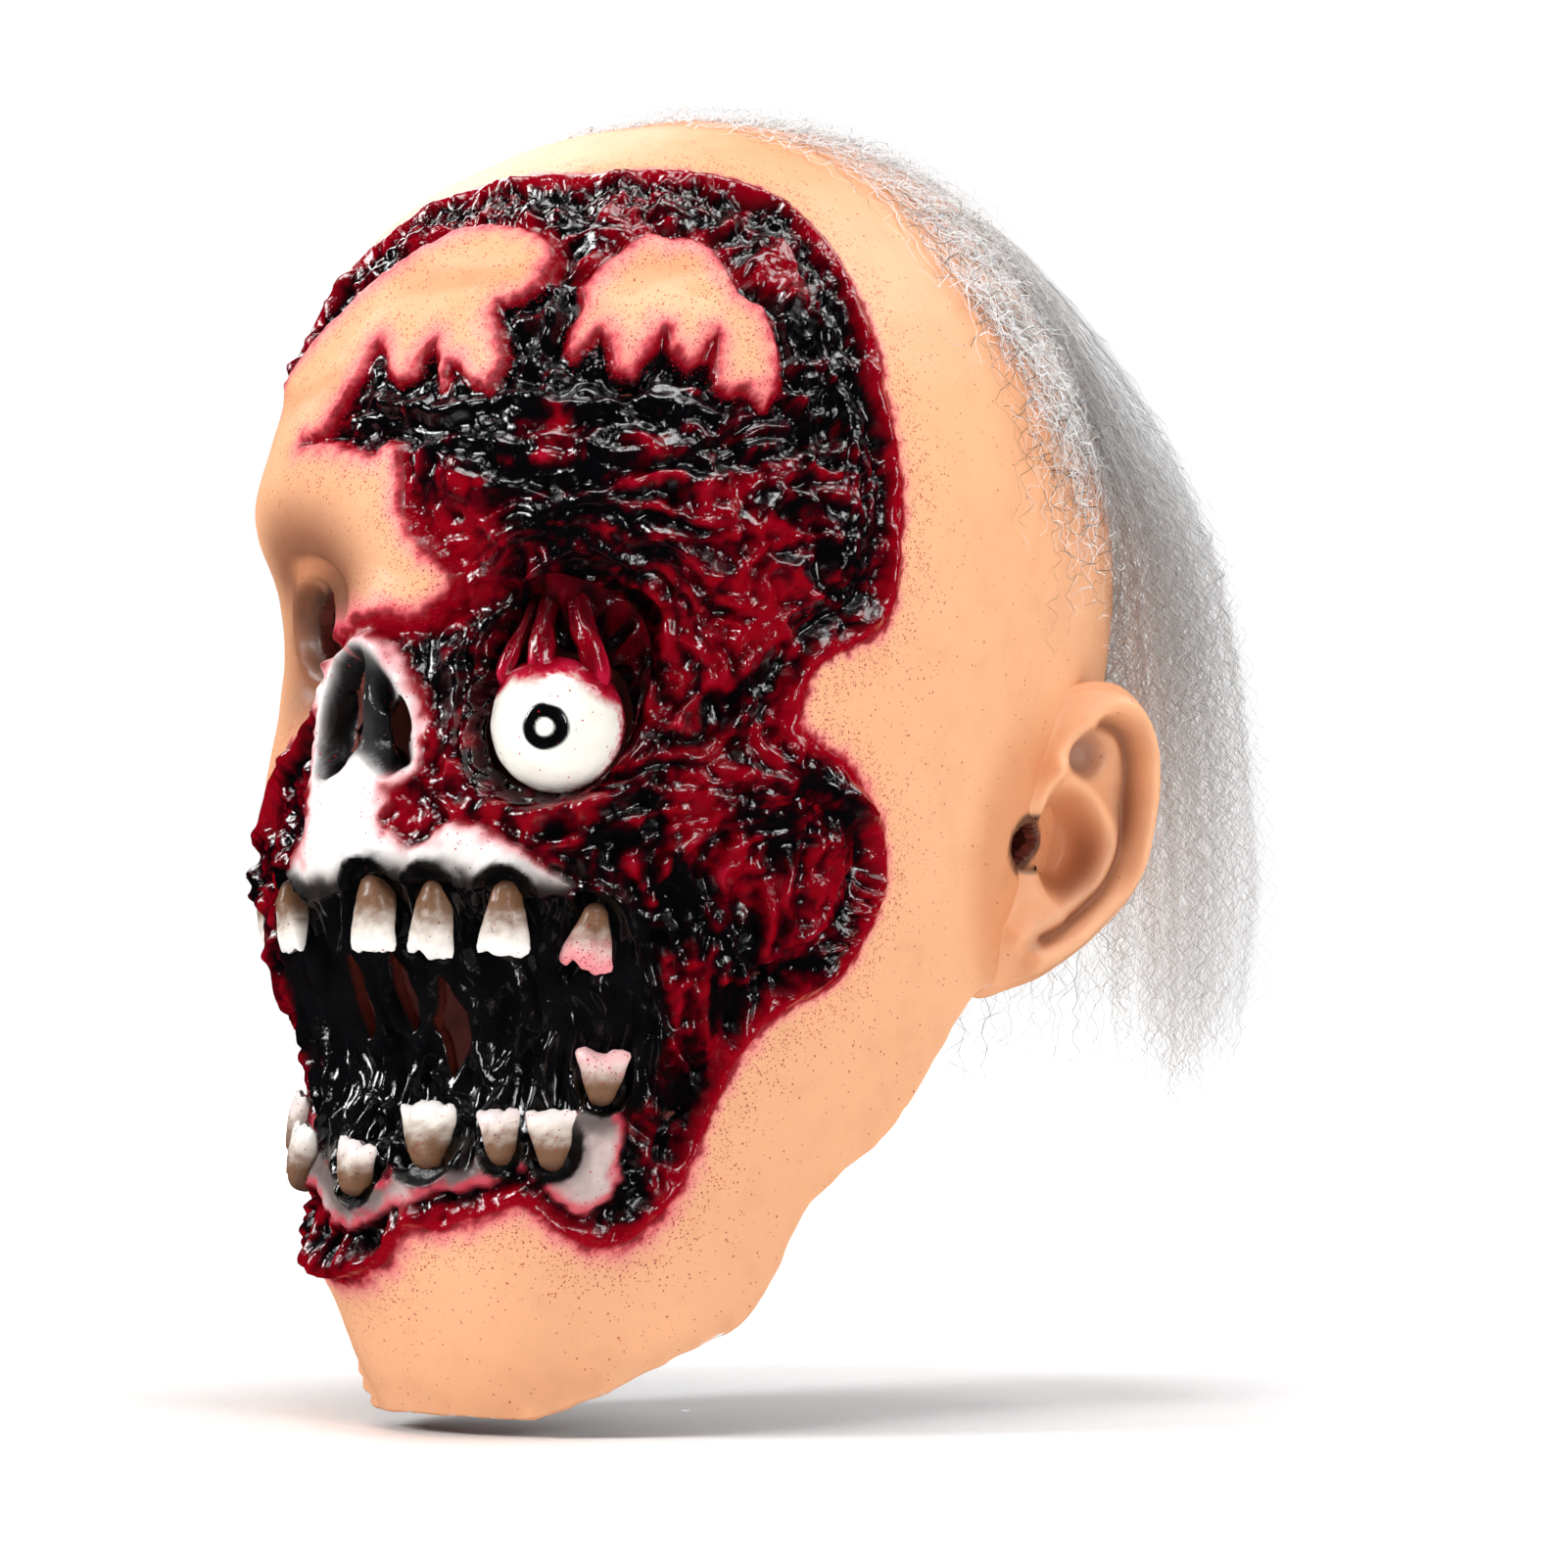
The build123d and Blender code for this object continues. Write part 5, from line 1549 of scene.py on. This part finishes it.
def curtain(name, low, high, count):
    """Long crepe strands that leave the edge of the cap and hang behind the head."""
    steps = 66
    azimuth = random.uniform(low, high, count)
    depth = random.beta(1.3, 1.2, count)
    top = random.uniform(80, 140, count)
    bottom = -75 + 96 * random.beta(0.9, 1.9, count) + 12 * depth
    far = step(azimuth, 150, 172) * (random.rand(count) < 0.9)
    bottom = np.maximum(bottom, -76 + far * random.uniform(40, 92, count))
    t = np.linspace(0, 1, steps)[None]
    z = top[:, None] + (bottom - top)[:, None] * t
    zs, near, far_out = zip(*LOCK_SECTIONS[::-1])
    inner, outer = np.interp(z, zs, near), np.interp(z, zs, far_out)
    clump = np.round(azimuth / 4.5) * 4.5 + 1.4 * np.sin(azimuth * 9)
    az = azimuth[:, None] + (clump - azimuth)[:, None] * 0.65 * step(t, 0.25, 1.0)
    az = np.clip(az, 122 + 16 * step(z, 112, 42), 238 - 16 * step(z, 112, 42))
    held = base_radius(az, np.full(az.shape, 60.0))
    follow = base_radius(az, np.maximum(z, 60))
    radius = np.where(z > 60, follow, held) + inner + (outer - inner) * depth[:, None]
    lines = from_axis(radius, az, z)
    facing = from_axis(1.0, az, 0.0)
    lengths = (top - bottom) * 1.05
    sideways, outward = crepe(count, steps, lengths, 8.0, 1.7)
    side = from_axis(1.0, az + 90, 0.0)
    grow = step(t, 0.0, 0.3)
    lines = lines + side * (sideways * grow)[..., None] + facing * (outward * 0.7 * grow)[..., None]
    wide = np.linspace(1, 0.4, steps)[None] * random.uniform(0.65, 1.2, (count, 1)) * 0.27
    made = ribbons(name, lines, wide, pick_shades(count, WHITE_MIX), facing)
    made.data.materials.append(HAIR)
    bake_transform(made)
    return made


for name, low, high in LOCKS:
    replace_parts(curtain(f"hanging_hair_{name}", low, high, int(760 * few)), f"hair_lock_{name}")


# ---------------------------------------------------------------- floor, light and camera
def floor_material():
    """Matt white, a little brighter far away so that it runs out into the white behind it."""
    t = Tree("studio_floor")
    colour = t.blend(tuple(srgb(254, 254, 254)), tuple(srgb(251, 251, 252)), t.ramp(t.noise(4, 3), 0.4, 0.6))
    reach = t.add("ShaderNodeVectorMath", operation="LENGTH")
    t.put(reach.inputs[0], t.coord)
    t.bsdf.inputs["Emission Color"].default_value = (1, 1, 1, 1)
    t.put(t.bsdf.inputs["Emission Strength"], t.ramp(reach.outputs["Value"], 0.5, 1.5, 0.0, 1.0))
    t.bump((t.noise(2, 2), 0.02))
    return t.end(colour, 0.7, specular=0.2)


def floor_disc():
    """A round pale floor just under the mask's rim."""
    low = CAD_BOX[0][2] / MM - 0.8
    turn = np.linspace(0, 2 * pi, 96, endpoint=False)
    around = np.stack([np.cos(turn), np.sin(turn), np.zeros(96)], -1)
    rings = [r * around + [0, 0, low] for r in (1, 300, 900, 2000, 4000)]
    made = mesh_object("studio_floor", rings, strip_faces(96, len(rings), flip=True))
    made.data.materials.append(floor_material())
    made.visible_glossy = False


floor_disc()


def area(name, place, target, size, power):
    """A soft white light; place, target and size in metres, power in watts."""
    light = bpy.data.lights.new(name, "AREA")
    light.shape = "RECTANGLE"
    light.size, light.size_y = size
    light.energy = power
    made = bpy.data.objects.new(name, light)
    bpy.context.scene.collection.objects.link(made)
    made.location = place
    made.rotation_euler = (Vector(target) - Vector(place)).to_track_quat("-Z", "Y").to_euler()


AIM = (0.0, 0.0, 0.0)
area("key_left", (-0.85, -1.35, 0.85), AIM, (0.42, 0.62), 21)
area("fill_right", (1.65, -0.55, 0.55), AIM, (0.42, 0.62), 11)
area("top_soft", (0.25, -0.15, 1.6), AIM, (0.8, 0.8), 16)
area("back_right", (0.7, 1.0, 1.3), (0.2, 0.6, 0.0), (1.2, 0.8), 14)
area("back_left", (-1.3, 0.6, 1.0), (-0.4, 0.6, 0.0), (1.2, 0.8), 14)

world = bpy.data.worlds.new("studio")
bpy.context.scene.world = world
world.use_nodes = True
world.node_tree.nodes["Background"].inputs[0].default_value = (1.0, 1.0, 1.0, 1)
world.node_tree.nodes["Background"].inputs[1].default_value = 1.0
world.cycles_visibility.diffuse = False
world.cycles_visibility.glossy = False
bpy.context.scene.view_settings.view_transform = "Standard"

camera = bpy.data.objects.new("camera", bpy.data.cameras.new("camera"))
bpy.context.scene.collection.objects.link(camera)
CAMERA_TURN, CAMERA_AWAY = radians(42), 1.5
camera.location = (CAMERA_AWAY * sin(CAMERA_TURN), -CAMERA_AWAY * cos(CAMERA_TURN), 0)
camera.rotation_euler = (radians(90), 0, CAMERA_TURN)
camera.data.sensor_width = 36
camera.data.lens = 156.9
camera.data.shift_x = 0.0628
camera.data.shift_y = 0.0384
camera.data.clip_end = 20
bpy.context.scene.camera = camera
